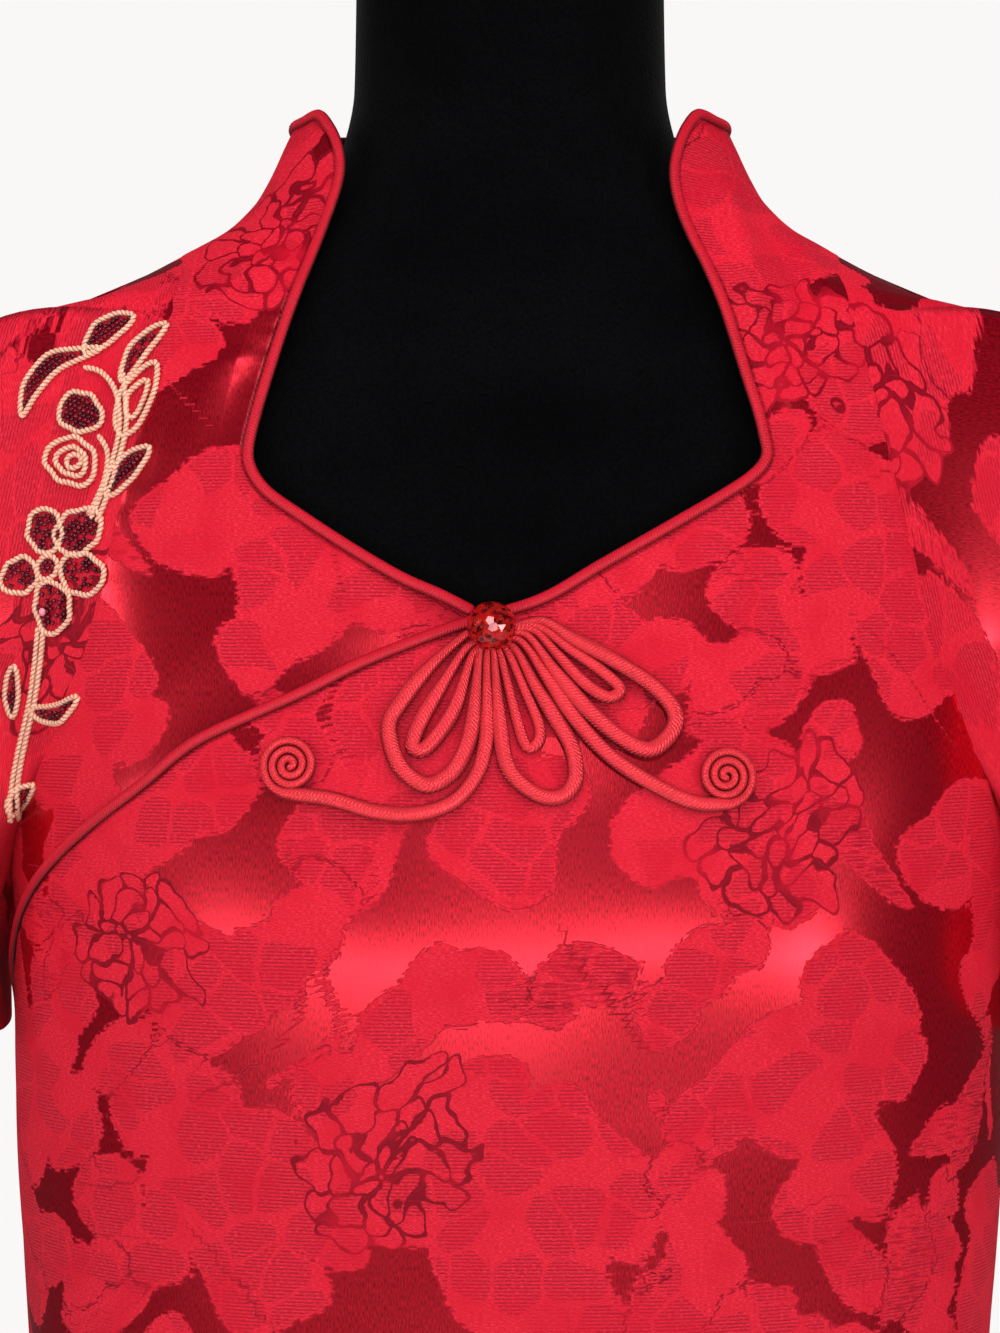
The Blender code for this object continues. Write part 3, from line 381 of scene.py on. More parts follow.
OPEN_BLOOMS = ((19, 295, 28), (142, 12, 27), (142, 166, 25))  # x, y, reach


def smooth_run(points, spacing):
    """Evenly spaced points of a smooth curve through the given ones (Catmull-Rom)."""
    points = np.asarray(points, dtype=float)
    before = np.vstack((points[:1], points[:-2], points[-2:-1]))[:len(points) - 1]
    before[0] = points[0]
    after = np.vstack((points[2:], points[-1:]))
    t = np.linspace(0.0, 1.0, 24, endpoint=False)[None, :, None]
    p0, p1, p2, p3 = (part[:, None, :] for part in (before, points[:-1], points[1:], after))
    dense = 0.5 * (2 * p1 + (p2 - p0) * t + (2 * p0 - 5 * p1 + 4 * p2 - p3) * t ** 2
                   + (3 * p1 - p0 - 3 * p2 + p3) * t ** 3)
    dense = np.vstack((dense.reshape(-1, points.shape[1]), points[-1:]))
    length = np.concatenate(([0.0], np.cumsum(np.linalg.norm(np.diff(dense, axis=0), axis=1))))
    count = max(int(round(length[-1] / spacing)), 2)
    even = np.linspace(0.0, length[-1], count + 1)
    return np.stack([np.interp(even, length, dense[:, k]) for k in range(points.shape[1])], axis=1)


def from_motif(u, v, x, y):
    """Distances from the nearest repeat of a motif's middle."""
    across = u - x
    steps = np.round(across / REPEAT_WIDTH)
    up = v - y - steps * REPEAT_HEIGHT / 2
    return across - steps * REPEAT_WIDTH, up - REPEAT_HEIGHT * np.round(up / REPEAT_HEIGHT)


def petal_field(u, v, x, y, size):
    return size - np.hypot(*from_motif(u, v, x, y))


def bloom_field(u, v, x, y, reach, petals, turn):
    field = petal_field(u, v, x, y, 0.56 * reach)
    for petal in range(petals):
        angle = 2 * math.pi * (petal + 0.28 * math.sin(3.3 * petal + turn)) / petals + turn
        size = reach * (0.34 + 0.09 * math.sin(2.4 * petal + 3 * turn))
        far = reach * (1.0 + 0.20 * math.sin(5.1 * petal + 7 * turn)) - size
        field = np.maximum(field, petal_field(u, v, x + far * math.cos(angle), y + far * math.sin(angle), size))
    return field


def leaf_field(u, v, x, y, angle, length, width):
    across, up = from_motif(u, v, x, y)
    turn = math.radians(angle)
    along, aside = across * math.cos(turn) + up * math.sin(turn), up * math.cos(turn) - across * math.sin(turn)
    bow = (length ** 2 / 4 + width ** 2 / 4) / width
    return np.minimum(bow - np.hypot(along, aside - bow + width / 2),
                      bow - np.hypot(along, aside + bow - width / 2))


def stalk_field(u, v, points):
    field = np.full_like(u, -100.0)
    run = smooth_run(points, 7.0)
    for start, end in zip(run, run[1:]):
        across, up = from_motif(u, v, *((start + end) / 2))
        half = (end - start) / 2
        part = np.clip((across * half[0] + up * half[1]) / half.dot(half), -1, 1)
        field = np.maximum(field, STALK_WIDTH / 2 - np.hypot(across - part * half[0], up - part * half[1]))
    return field


def woven_figure(cloth, shift):
    """Marks of the weave at places of the cloth map: figure edge, border of motifs, leaf edge and open blooms."""
    plain_u, plain_v = cloth[..., 0] * 1000 + shift[0], cloth[..., 1] * 1000 + shift[1]
    u = plain_u + 5.0 * np.sin(2 * math.pi * plain_v / 95 + 1.0) + 2.2 * np.sin(2 * math.pi * plain_v / 38)
    v = plain_v + 5.0 * np.sin(2 * math.pi * plain_u / 105 + 2.0) + 2.2 * np.sin(2 * math.pi * plain_u / 42)
    figure, border, leafy = np.full_like(u, -30.0), np.full_like(u, 30.0), np.full_like(u, -30.0)
    fields = [(stalk_field(u, v, points), False) for points in STALKS]
    fields += [(bloom_field(u, v, *item), False) for item in BLOOMS]
    for points, sizes in SPRAYS:
        spray = np.full_like(u, -30.0)
        for (x, y), size in zip(points, sizes):
            spray = np.maximum(spray, petal_field(u, v, x, y, size))
        fields.append((spray, False))
    fields += [(leaf_field(u, v, *item), True) for item in LEAVES]
    for field, is_leaf in fields:
        nearer = np.abs(field) < np.abs(border)
        border = np.where(field > 0, field, np.where(nearer, field, border))
        figure = np.maximum(figure, field)
        leafy = np.maximum(leafy, field) if is_leaf else np.where(field > 0, -np.abs(field), leafy)
    lace = np.full(u.shape + (3,), 0.0)
    lace[..., 2] = 400.0
    for x, y, reach in OPEN_BLOOMS:
        across, up = from_motif(u, v, x, y)
        away = np.hypot(across, up) / reach
        near = (away < lace[..., 2])
        for k, value in enumerate((across / reach, up / reach, away)):
            lace[..., k] = np.where(near, value, lace[..., k])
    return {"figure": figure, "border": border, "leafy": leafy, "lace": lace}


SATIN_RED = (0.42, 0.0, 0.009)
FIGURE_RED = (0.66, 0.013, 0.032)
RIBBED_RED = (0.59, 0.013, 0.032)


def weave_silk(name):
    """Jacquard silk: the marks say where the figure lies, and the cloth map carries ribs, twill and satin floats."""
    silk, tree, shader = new_finish(name)
    node, calc, grade, tint = (partial(tool, tree) for tool in (add_node, sums, ramp, blend_colours))
    cloth = node("ShaderNodeUVMap", uv_map="cloth").outputs[0]
    mm = node("ShaderNodeVectorMath", {0: cloth, 3: 1000.0}, operation="SCALE").outputs[0]
    parts = node("ShaderNodeSeparateXYZ", {0: mm})
    weft, warp = parts.outputs[0], parts.outputs[1]

    def mark(label):
        return node("ShaderNodeAttribute", attribute_name=label)

    figure, border, leafy = (mark(label).outputs["Fac"] for label in ("figure", "border", "leafy"))
    lace = node("ShaderNodeSeparateXYZ", {0: mark("lace").outputs["Vector"]})

    # Teeth of the figure's edge: each group of weft threads ends at its own place
    rows = node("ShaderNodeCombineXYZ", {0: calc("FLOOR", calc("DIVIDE", weft, 2.6)),
                                         1: calc("FLOOR", calc("DIVIDE", warp, 0.85))})
    teeth = node("ShaderNodeTexWhiteNoise", {"Vector": rows.outputs[0]}, noise_dimensions="2D").outputs[0]
    ragged = calc("MULTIPLY_ADD", teeth, 1.7, -0.85)
    edge = calc("ADD", figure, ragged)
    on_figure = grade(edge, -0.12, 0.12)

    # Petal cells inside the figure, rounded, with a thin twill line between them
    drift = node("ShaderNodeTexNoise", {"Vector": mm, "Scale": 0.035, "Detail": 1.0}, noise_dimensions="2D")
    shove = node("ShaderNodeVectorMath", {0: drift.outputs["Color"], 3: 16.0}, operation="SCALE").outputs[0]
    warped = node("ShaderNodeVectorMath", {0: mm, 1: shove}, operation="ADD").outputs[0]
    scaled = node("ShaderNodeVectorMath", {0: warped, 1: (1 / 16.5, 1 / 14.0, 1.0)},
                  operation="MULTIPLY").outputs[0]
    cell = node("ShaderNodeTexVoronoi", {"Vector": scaled, "Scale": 1.0, "Randomness": 0.85},
                voronoi_dimensions="2D")
    rim = node("ShaderNodeTexVoronoi", {"Vector": scaled, "Scale": 1.0, "Randomness": 0.85},
               voronoi_dimensions="2D", feature="DISTANCE_TO_EDGE")
    chance = node("ShaderNodeSeparateXYZ", {0: cell.outputs["Color"]})
    inside = calc("MINIMUM", calc("SUBTRACT", rim.outputs["Distance"], 0.045),
                  calc("SUBTRACT", 0.60, cell.outputs["Distance"]))
    inside = calc("MINIMUM", inside, calc("MULTIPLY_ADD", edge, 0.06, -0.09))
    ribbed = grade(calc("MULTIPLY_ADD", ragged, 0.02, inside), -0.008, 0.008)
    ribbed = calc("MULTIPLY", ribbed, grade(chance.outputs[0], 0.22, 0.30))

    # Open blooms: petals outlined by satin floats, ring under ring, round a small middle
    swell = node("ShaderNodeTexNoise", {"Vector": mm, "Scale": 0.075, "Detail": 1.0}, noise_dimensions="2D")
    bend = node("ShaderNodeSeparateXYZ", {0: swell.outputs["Color"]})
    lace_x = calc("ADD", lace.outputs[0], calc("MULTIPLY_ADD", bend.outputs[0], 0.60, -0.30))
    lace_y = calc("ADD", lace.outputs[1], calc("MULTIPLY_ADD", bend.outputs[1], 0.60, -0.30))
    away = calc("SQRT", calc("MULTIPLY_ADD", lace_x, lace_x, calc("MULTIPLY", lace_y, lace_y)))
    lace_turn = calc("ARCTAN2", lace_y, lace_x)
    petal = None
    for petals, middle, size, phase in ((12, 0.76, 0.245, 0.20), (9, 0.47, 0.215, 0.55), (5, 0.215, 0.165, 0.10)):
        count = calc("MULTIPLY_ADD", lace_turn, petals / (2 * math.pi), phase)
        own = calc("MULTIPLY", calc("SUBTRACT", count, calc("ROUND", count)), 2 * math.pi / petals)
        along = calc("SUBTRACT", calc("MULTIPLY", away, calc("COSINE", own)), middle)
        aside = calc("MULTIPLY", away, calc("SINE", own))
        gap = calc("SQRT", calc("MULTIPLY_ADD", along, along, calc("MULTIPLY", aside, aside)))
        neighbour = calc("MULTIPLY", calc("SUBTRACT", math.pi / petals, calc("ABSOLUTE", own)), away)
        within = calc("MINIMUM", calc("SUBTRACT", size, gap), neighbour)
        shown = calc("GREATER_THAN", within, 0.0)
        petal = within if petal is None else calc("MULTIPLY_ADD", calc("SUBTRACT", within, petal), shown, petal)
    eye = calc("SUBTRACT", 0.085, away)
    petal = calc("MULTIPLY_ADD", calc("SUBTRACT", eye, petal), calc("GREATER_THAN", eye, 0.0), petal)
    in_bloom = grade(petal, -0.004, 0.004)
    line_width = calc("MULTIPLY_ADD", swell.outputs["Fac"], 0.066, 0.010)
    float_line = grade(calc("SUBTRACT", calc("MULTIPLY_ADD", ragged, 0.012, petal), line_width), 0.006,
                       -0.006)
    float_line = calc("MULTIPLY", float_line, in_bloom)
    woven = calc("MAXIMUM", on_figure, in_bloom)
    matte = calc("MULTIPLY", woven, calc("SUBTRACT", 1.0, float_line))
    ribbed = calc("MULTIPLY", ribbed, matte)

    # Thin dark outline where one motif lies over another, and broken weft lines in the leaves
    outline = calc("MULTIPLY", grade(calc("ABSOLUTE", calc("ADD", border, ragged)), 0.55, 0.15), matte)
    outline = calc("MULTIPLY", outline, calc("SUBTRACT", 1.0, in_bloom))
    streak_spots = node("ShaderNodeVectorMath", {0: mm, 1: (0.13, 1.05, 1.0)}, operation="MULTIPLY").outputs[0]
    streaks = node("ShaderNodeTexNoise", {"Vector": streak_spots, "Scale": 1.0, "Detail": 1.0},
                   noise_dimensions="2D").outputs["Fac"]
    in_leaf = calc("MULTIPLY", grade(leafy, 0.6, 1.6), matte)
    vein = calc("MULTIPLY", grade(streaks, 0.55, 0.62), in_leaf)

    # Line of the seam beside the piping, with a dent at each stitch
    stitched = mark("stitched").outputs["Fac"]
    dents = calc("SINE", calc("MULTIPLY", calc("ADD", weft, warp), 2 * math.pi / 2.3))
    # The dents are a bump, and they are also darkened below with painted shade.
    seam_dent_and_shade = grade(calc("ABSOLUTE", calc("SUBTRACT", stitched, 2.35)), 0.65, 0.15)
    seam_dent_and_shade = calc("MULTIPLY", seam_dent_and_shade, grade(dents, -2.2, 0.6))

    # Threads: ribs in the cells, a fine twill round them and warp floats in the satin
    rib = calc("SINE", calc("MULTIPLY", warp, 2 * math.pi / 1.12))
    twill = calc("SINE", calc("MULTIPLY", calc("MULTIPLY_ADD", weft, 0.8, warp), 2 * math.pi / 0.85))
    float_spots = node("ShaderNodeVectorMath", {0: mm, 1: (2.4, 0.55, 1.0)}, operation="MULTIPLY").outputs[0]
    floats = node("ShaderNodeTexNoise", {"Vector": float_spots, "Scale": 1.0, "Detail": 2.0},
                  noise_dimensions="2D").outputs["Fac"]
    slub = node("ShaderNodeTexNoise", {"Vector": mm, "Scale": 0.05, "Detail": 3.0},
                noise_dimensions="2D").outputs["Fac"]

    tone = tint(ribbed, FIGURE_RED, RIBBED_RED)
    rib_shade = calc("MULTIPLY", grade(rib, -0.2, -1.0), ribbed)
    tone = tint(calc("MULTIPLY", rib_shade, 0.85), tone, (0.27, 0.0, 0.008))
    twill_shade = calc("MULTIPLY", grade(twill, 0.2, 1.0), calc("SUBTRACT", 1.0, ribbed))
    tone = tint(calc("MULTIPLY", twill_shade, 0.50), tone, (0.36, 0.0, 0.010))
    thread_spots = node("ShaderNodeVectorMath", {0: mm, 1: (0.8, 2.2, 1.0)}, operation="MULTIPLY").outputs[0]
    threads = node("ShaderNodeTexNoise", {"Vector": thread_spots, "Scale": 1.0, "Detail": 2.0},
                   noise_dimensions="2D").outputs["Fac"]
    tone = tint(calc("MULTIPLY", grade(threads, 0.46, 0.28), 0.55), tone, (0.44, 0.0, 0.014))
    tone = tint(calc("MULTIPLY", grade(threads, 0.54, 0.74), 0.60), tone, (0.92, 0.034, 0.070))
    tone = tint(calc("MULTIPLY", vein, 0.55), tone, (0.26, 0.0, 0.012))
    tone = tint(calc("MULTIPLY", outline, 0.85), tone, (0.17, 0.0, 0.008))
    satin_tone = tint(grade(floats, 0.35, 0.75), SATIN_RED, (0.78, 0.004, 0.028))
    tone = tint(matte, satin_tone, tone)
    tone = tint(calc("MULTIPLY", float_line, 0.85), tone, (0.13, 0.0, 0.006))
    tone = tint(grade(slub, 0.45, 0.9), tone, (0.56, 0.004, 0.020))
    # Painted shade in the dents of the seam line.
    tone = tint(calc("MULTIPLY", seam_dent_and_shade, 0.60), tone, (0.20, 0.0, 0.006))
    tree.links.new(tone, shader.inputs["Base Color"])
    rough = calc("MULTIPLY_ADD", woven, 0.36, 0.25)
    rough = calc("MULTIPLY_ADD", floats, 0.08, rough)
    tree.links.new(rough, shader.inputs["Roughness"])
    tree.links.new(calc("MULTIPLY_ADD", woven, -0.74, 0.80), shader.inputs["Metallic"])
    tree.links.new(calc("MULTIPLY_ADD", woven, -0.42, 0.42), shader.inputs["Coat Weight"])
    shader.inputs["Coat Roughness"].default_value = 0.30
    shader.inputs["Sheen Weight"].default_value = 0.03
    shader.inputs["Sheen Roughness"].default_value = 0.4
    shader.inputs["Sheen Tint"].default_value = (1.0, 0.25, 0.32, 1.0)
    shader.inputs["Specular IOR Level"].default_value = 0.36
    shader.inputs["Specular Tint"].default_value = (1.0, 0.45, 0.52, 1.0)

    height = calc("MULTIPLY", matte, 0.10)
    height = calc("MULTIPLY_ADD", calc("MULTIPLY", rib, ribbed), 0.110, height)
    height = calc("MULTIPLY_ADD", calc("MULTIPLY", twill, matte), 0.030, height)
    height = calc("MULTIPLY_ADD", outline, -0.08, height)
    height = calc("MULTIPLY_ADD", floats, 0.03, height)
    height = calc("MULTIPLY_ADD", seam_dent_and_shade, -0.22, height)
    bump = node("ShaderNodeBump", {"Height": height, "Strength": 0.8, "Distance": 0.001})
    tree.links.new(bump.outputs[0], shader.inputs["Normal"])
    return silk


silk = weave_silk("red_silk_jacquard_weave")

# Front of the dress: one piece of silk from hem to shoulder, with a wing collar grown on, cut away along the
# piped placket, the neckline and the wearer's left armhole. Its hem is turned up inside.
SECTIONS = (
    (0.4000, 0.1760, 0.1040, 0.1060, 2.15), (0.5200, 0.1790, 0.1040, 0.1080, 2.15),
    (0.6800, 0.1820, 0.1050, 0.1120, 2.15), (0.8000, 0.1810, 0.1060, 0.1130, 2.15),
    (0.9000, 0.1690, 0.1030, 0.1000, 2.15), (1.0000, 0.1600, 0.1000, 0.0850, 2.15),
    (1.0550, 0.1626, 0.1020, 0.0860, 2.20), (1.1100, 0.1652, 0.1065, 0.0920, 2.20),
    (1.1550, 0.1660, 0.1080, 0.0960, 2.25), (1.2000, 0.1668, 0.1030, 0.0990, 2.30),
    (1.2620, 0.1690, 0.0880, 0.0990, 2.30), (1.3000, 0.1720, 0.0790, 0.0940, 2.25),
    (1.3350, 0.1760, 0.0700, 0.0870, 2.15), (1.3550, 0.1760, 0.0645, 0.0820, 2.05),
    (1.3655, 0.1690, 0.0620, 0.0790, 2.00), (1.3763, 0.1364, 0.0600, 0.0760, 2.00),
    (1.3830, 0.1181, 0.0585, 0.0740, 2.00), (1.3898, 0.1051, 0.0575, 0.0725, 2.00),
    (1.3959, 0.0946, 0.0565, 0.0710, 2.00), (1.4060, 0.0848, 0.0550, 0.0685, 2.00),
    (1.4195, 0.0777, 0.0530, 0.0645, 2.00), (1.4331, 0.0720, 0.0515, 0.0605, 2.00),
    (1.4480, 0.0695, 0.0505, 0.0585, 2.00),
)
# Middle lines of the piping on the front, x and height: placket from the side seam up to the V, then neckline
# and wing
PLACKET_RUN = ((-0.1640, 1.1508), (-0.1617, 1.1617), (-0.1569, 1.1728), (-0.1480, 1.1847), (-0.1330, 1.1985),
               (-0.1146, 1.2124), (-0.1027, 1.2222), (-0.0925, 1.2284), (-0.0653, 1.2405), (-0.0453, 1.2504),
               (-0.0219, 1.2596), (-0.0065, 1.2645), )
NECK_RUN_LEFT = (
    (0.0105, 1.2702), (0.0276, 1.2802), (0.0464, 1.2909), (0.0654, 1.3020), (0.0758, 1.3090), (0.0803, 1.3150),
    (0.0795, 1.3225), (0.0778, 1.3300), (0.0742, 1.3420), (0.0707, 1.3544), (0.0674, 1.3652), (0.0629, 1.3766),
    (0.0583, 1.3867), (0.0547, 1.3962), (0.0530, 1.4047), (0.0530, 1.4115), (0.0548, 1.4190), (0.0577, 1.4255),
    (0.0618, 1.4302),
)
NECK_RUN_RIGHT = ((-0.0127, 1.2664), (-0.0219, 1.2711), (-0.0344, 1.2767), (-0.0500, 1.2859),
                  (-0.0659, 1.2963), (-0.0762, 1.3037), (-0.0814, 1.3108), (-0.0825, 1.3179),
                  (-0.0799, 1.3301), (-0.0763, 1.3430), (-0.0724, 1.3561), (-0.0682, 1.3686),
                  (-0.0637, 1.3808), (-0.0594, 1.3931), (-0.0562, 1.4033), (-0.0550, 1.4108),
                  (-0.0560, 1.4180), (-0.0588, 1.4248), (-0.0630, 1.4302), )
ARMHOLE_FRONT = (
    (0.1072, 1.3800), (0.1087, 1.3672), (0.1126, 1.3525), (0.1187, 1.3244), (0.1262, 1.2924), (0.1345, 1.2570),
    (0.1405, 1.2430), (0.1448, 1.2310), (0.1500, 1.2200), (0.1590, 1.2040), (0.1645, 1.1850),
)
ARMHOLE_BACK = (
    (0.1085, 1.3800), (0.1120, 1.3672), (0.1170, 1.3525), (0.1250, 1.3244), (0.1320, 1.2924), (0.1390, 1.2570),
    (0.1425, 1.2430), (0.1460, 1.2310), (0.1500, 1.2200), (0.1590, 1.2040), (0.1645, 1.1850),
)
ARMHOLE_TOP, ARMHOLE_FOOT = 1.3893, 1.1616
PLACKET_FOOT = 1.1350
HEM, SLIT_TOP = 0.4000, 0.6500
SLIT_HALF_OPENING = 0.0050
COLLAR_SIDE_TOP = 1.4293
WING_TOP, WING_TOP_RISE = 1.4290, 0.0008
PIPING_RADIUS = 0.0019
TUCKED_EDGE = 0.0013
QUARTER = math.pi / 2

body = Sections(SECTIONS)


def front_places(points):
    """Turns and heights of points given by their distance from the middle and their height."""
    points = np.asarray(points, dtype=float)
    half_width, _, _, power = body.at(points[:, 1])
    across = np.clip(np.abs(points[:, 0]) / half_width, 0.0, 1.0)
    return np.stack((np.copysign(np.arctan2(across, (1.0 - across ** power) ** (1.0 / power)), points[:, 0]),
                     points[:, 1]), axis=1)


def place_of(points):
    half_width, front, back, _ = body.at(points[:, 2])
    depth = np.where(points[:, 1] <= 0.0, front, back)
    return np.stack((np.arctan2(points[:, 0] / half_width, -points[:, 1] / depth), points[:, 2]), axis=1)


def on_body(places):
    return body.points(places[:, 0], places[:, 1])


def beside(places, distance):
    """Points beside a line on the garment, in its surface, to the right of its run."""
    points = on_body(places)
    run = np.gradient(points, axis=0)
    side = np.cross(run, body.normals(places[:, 0], places[:, 1]))
    side /= np.linalg.norm(side, axis=1, keepdims=True)
    return points + side * distance


def armhole_places(side, back=False):
    chart = np.array(ARMHOLE_BACK if back else ARMHOLE_FRONT) * (side, 1.0)
    places = front_places(chart)
    if back:
        places[:, 0] = side * math.pi - places[:, 0]
    ends = np.array(((side * QUARTER, ARMHOLE_TOP), (side * QUARTER, ARMHOLE_FOOT)))
    return np.vstack((ends[:1], places, ends[1:]))


def turn_on(line, heights):
    ordered = line[np.argsort(line[:, 1])]
    return np.interp(heights, ordered[:, 1], ordered[:, 0])


def smoothed_armhole(side, back=False):
    line = armhole_places(side, back)
    points = smooth_run(on_body(line), 0.002)
    places = place_of(points)
    if back:
        places[:, 0] = np.where(places[:, 0] * side < 0, places[:, 0] + side * 2 * math.pi, places[:, 0])
    return np.vstack((line[:1], places[1:-1], line[-1:]))


def side_turns(heights, side, back=False, inset=0.0001):
    """Turn of a panel's side edge: side seam with its slit, then armhole, then shoulder and collar seam."""
    _, front, deep, _ = body.at(heights)
    opening = SLIT_HALF_OPENING * np.maximum(SLIT_TOP - heights, 0.0) / (SLIT_TOP - HEM)
    step = (inset + opening) / (deep if back else front)
    turns = side * (QUARTER + step if back else QUARTER - step)
    armhole = turn_on(smoothed_armhole(side, back), heights)
    in_armhole = (heights >= ARMHOLE_FOOT) & (heights <= ARMHOLE_TOP)
    return np.where(in_armhole, armhole, turns)


EDGE_CROWDING = 0.35


def spread(columns):
    """Shares of the way across, closer together at the two edges."""
    t = np.linspace(0.0, 1.0, columns + 1)
    return t - EDGE_CROWDING * np.sin(2 * math.pi * t) / (2 * math.pi)


def cloth_map(height, spots):
    """Cloth map in metres: along the weft from the middle, and along the warp, over shoulder and collar too."""
    fold = 1.300
    samples = np.linspace(0.0, QUARTER, 200)
    points = body.points(samples, np.full(200, fold))
    reach = np.concatenate(([0.0], np.cumsum(np.linalg.norm(np.diff(points, axis=0), axis=1))))
    low = height <= fold
    sign = np.sign(spots[..., 0])
    away = np.abs(spots[..., 0])
    half_width, front, back, power = body.at(height)
    at_fold = body.at(np.full_like(height, fold))
    depth = np.where(spots[..., 1] < 0, front, back)
    # Below the fold the weft runs round the body, so its length is measured along the section there
    angle = np.arctan2(away / half_width, np.maximum(np.abs(spots[..., 1]), 1e-6) / depth)
    steps = np.linspace(0.0, 1.0, 24)
    length = np.zeros_like(height)
    before = None
    for step in steps:
        t = angle * step
        scale = (np.abs(np.sin(t)) ** power + np.abs(np.cos(t)) ** power) ** (-1.0 / power)
        here = np.stack((half_width * np.sin(t) * scale, depth * np.cos(t) * scale), axis=-1)
        if before is not None:
            length += np.linalg.norm(here - before, axis=-1)
        before = here
    high_u = np.interp(away, points[:, 0], reach) + np.maximum(away - points[-1, 0], 0.0)
    u = sign * np.where(low, length, high_u)
    fold_depth = np.where(spots[..., 1] < 0, at_fold[1], at_fold[2])
    ratio = np.clip(away / at_fold[0], 0.0, 1.0)
    fold_y = fold_depth * (1.0 - ratio ** at_fold[3]) ** (1.0 / at_fold[3])
    v = np.where(low, height, fold + np.hypot(np.abs(spots[..., 1]) - fold_y, height - fold))
    return np.stack((u, v), axis=-1)


def edge_distances(spots):
    """Distance along its row of each place from the first edge and from the last."""
    steps = np.linalg.norm(np.diff(spots, axis=1), axis=2)
    first = np.concatenate((np.zeros((len(spots), 1)), np.cumsum(steps, axis=1)), axis=1)
    return first, first[:, -1:] - first


CREASES_END = 1.4240


def soft_folds(spots, creases):
    """Shallow creases: each has points (x, height), a height of fold and a width, in metres."""
    lift = np.zeros(spots.shape[:2])
    for points, rise, width in creases:
        run = smooth_run(points, 0.004)
        gap = np.min([np.hypot(spots[..., 0] - x, spots[..., 2] - z) for x, z in run], axis=0)
        ends = np.clip(np.minimum(np.abs(spots[..., 2] - run[0][1]),
                                  np.abs(spots[..., 2] - run[-1][1])) / 0.012, 0.3, 1.0)
        lift += rise * np.exp(-(gap / width) ** 2) * ends
    first, last = edge_distances(spots)
    from_sides = np.clip(np.minimum(first, last) / 0.010, 0.0, 1.0)
    from_wing_top = np.clip((CREASES_END - spots[..., 2]) / 0.014, 0.0, 1.0)
    return lift * from_sides * from_wing_top


SEAM_REACH, LOOSENESS = 0.0010, 0.00035


def seam_finish(cloth, first, last, dips):
    """Seams pull the cloth in at both edges and pucker it a little along them."""
    lift = -dips[0] * np.exp(-(first / SEAM_REACH) ** 2) - dips[1] * np.exp(-(last / SEAM_REACH) ** 2)
    pucker = np.sin(cloth[..., 1] * 2 * math.pi / 0.0085 + 2.0 * np.sin(cloth[..., 1] * 2 * math.pi / 0.047))
    return lift + 0.00016 * pucker * (np.exp(-first / 0.005) + np.exp(-last / 0.005))


def loose_cloth(cloth):
    """Slight unevenness of cloth that lies free."""
    u, v = cloth[..., 0], cloth[..., 1]
    return LOOSENESS * (np.sin(u * 46 + 3 * np.sin(v * 21)) + 0.6 * np.sin(v * 58 + u * 31 + 1.3)
                        + 0.4 * np.sin(u * 97 - v * 39))


def settled(spots, cloth, dips):
    """How far the cloth stands out: drawn in at its side seams, and a little uneven between them."""
    first, last = edge_distances(spots)
    free = np.clip(np.minimum(first, last) / 0.02, 0.0, 1.0)
    return seam_finish(cloth, first, last, dips) + loose_cloth(cloth) * free


front_heights = np.concatenate((np.linspace(HEM + 0.0015, 1.020, 92)[:-1], np.linspace(1.020, 1.335, 152)[:-1],
                                np.linspace(1.335, 1.395, 72)[:-1], np.linspace(1.395, 1.4265, 18)))
front_edge = np.vstack(([(-QUARTER, height) for height in (1.060, 1.080, 1.100, 1.118, PLACKET_FOOT)],
                        front_places(PLACKET_RUN + NECK_RUN_LEFT)))
front_edge_run = smooth_run(on_body(front_edge), 0.0015)
front_cut = place_of(beside(place_of(front_edge_run), TUCKED_EDGE))


def panel_places(heights, starts, ends, columns):
    """Turns and heights of the rows and columns of a cut piece, from one side edge to the other."""
    shares = spread(columns)
    return starts[:, None] + (ends - starts)[:, None] * shares, np.repeat(heights[:, None], columns + 1, axis=1)


def add_wing_top(turn, height, wing_first):
    """Two more rows close a wing's top edge, from the end of its free edge to the collar's side seam."""
    first, last = turn[-1, 0], turn[-1, -1]
    side = last if wing_first else first
    inner = first + 0.040 if wing_first else last - 0.040
    shares = spread(turn.shape[1] - 1)
    top = inner + (side - inner) * shares if wing_first else side + (inner - side) * shares
    rise = shares if wing_first else 1.0 - shares
    top_height = WING_TOP + (COLLAR_SIDE_TOP - TUCKED_EDGE - WING_TOP) * rise
    last_turn, last_height = turn[-1], height[-1]
    for part in (0.5, 1.0):
        turn = np.vstack((turn, last_turn * (1 - part) + top * part))
        height = np.vstack((height, last_height * (1 - part) + top_height * part))
    return turn, height


def from_edge(spots, run):
    """Distance of each place from a seam or a piped edge, in millimetres."""
    tree = KDTree(len(run))
    for index, point in enumerate(run):
        tree.insert(point, index)
    tree.balance()
    low, high = run.min(axis=0) - 0.012, run.max(axis=0) + 0.012
    flat = spots.reshape(-1, 3)
    distance = np.full(len(flat), 50.0)
    for index in np.nonzero(np.all((flat > low) & (flat < high), axis=1))[0]:
        distance[index] = tree.find(flat[index])[2] * 1000
    return distance.reshape(spots.shape[:-1])


def with_hem(turn, height, lift):
    """Rows of a hem that is turned up inside, before the outer rows."""
    hem_heights = (HEM + 0.028, HEM + 0.018, HEM + 0.008, HEM + 0.0012, HEM, HEM + 0.0005)
    hem_lifts = (-0.0019, -0.0017, -0.0016, -0.0015, -0.0008, -0.0001)
    turns = np.repeat(turn[:1], len(hem_heights), axis=0)
    heights = np.repeat(np.array(hem_heights)[:, None], turn.shape[1], axis=1)
    lifts = np.repeat(np.array(hem_lifts)[:, None], turn.shape[1], axis=1)
    return np.vstack((turns, turn)), np.vstack((heights, height)), np.vstack((lifts, lift))


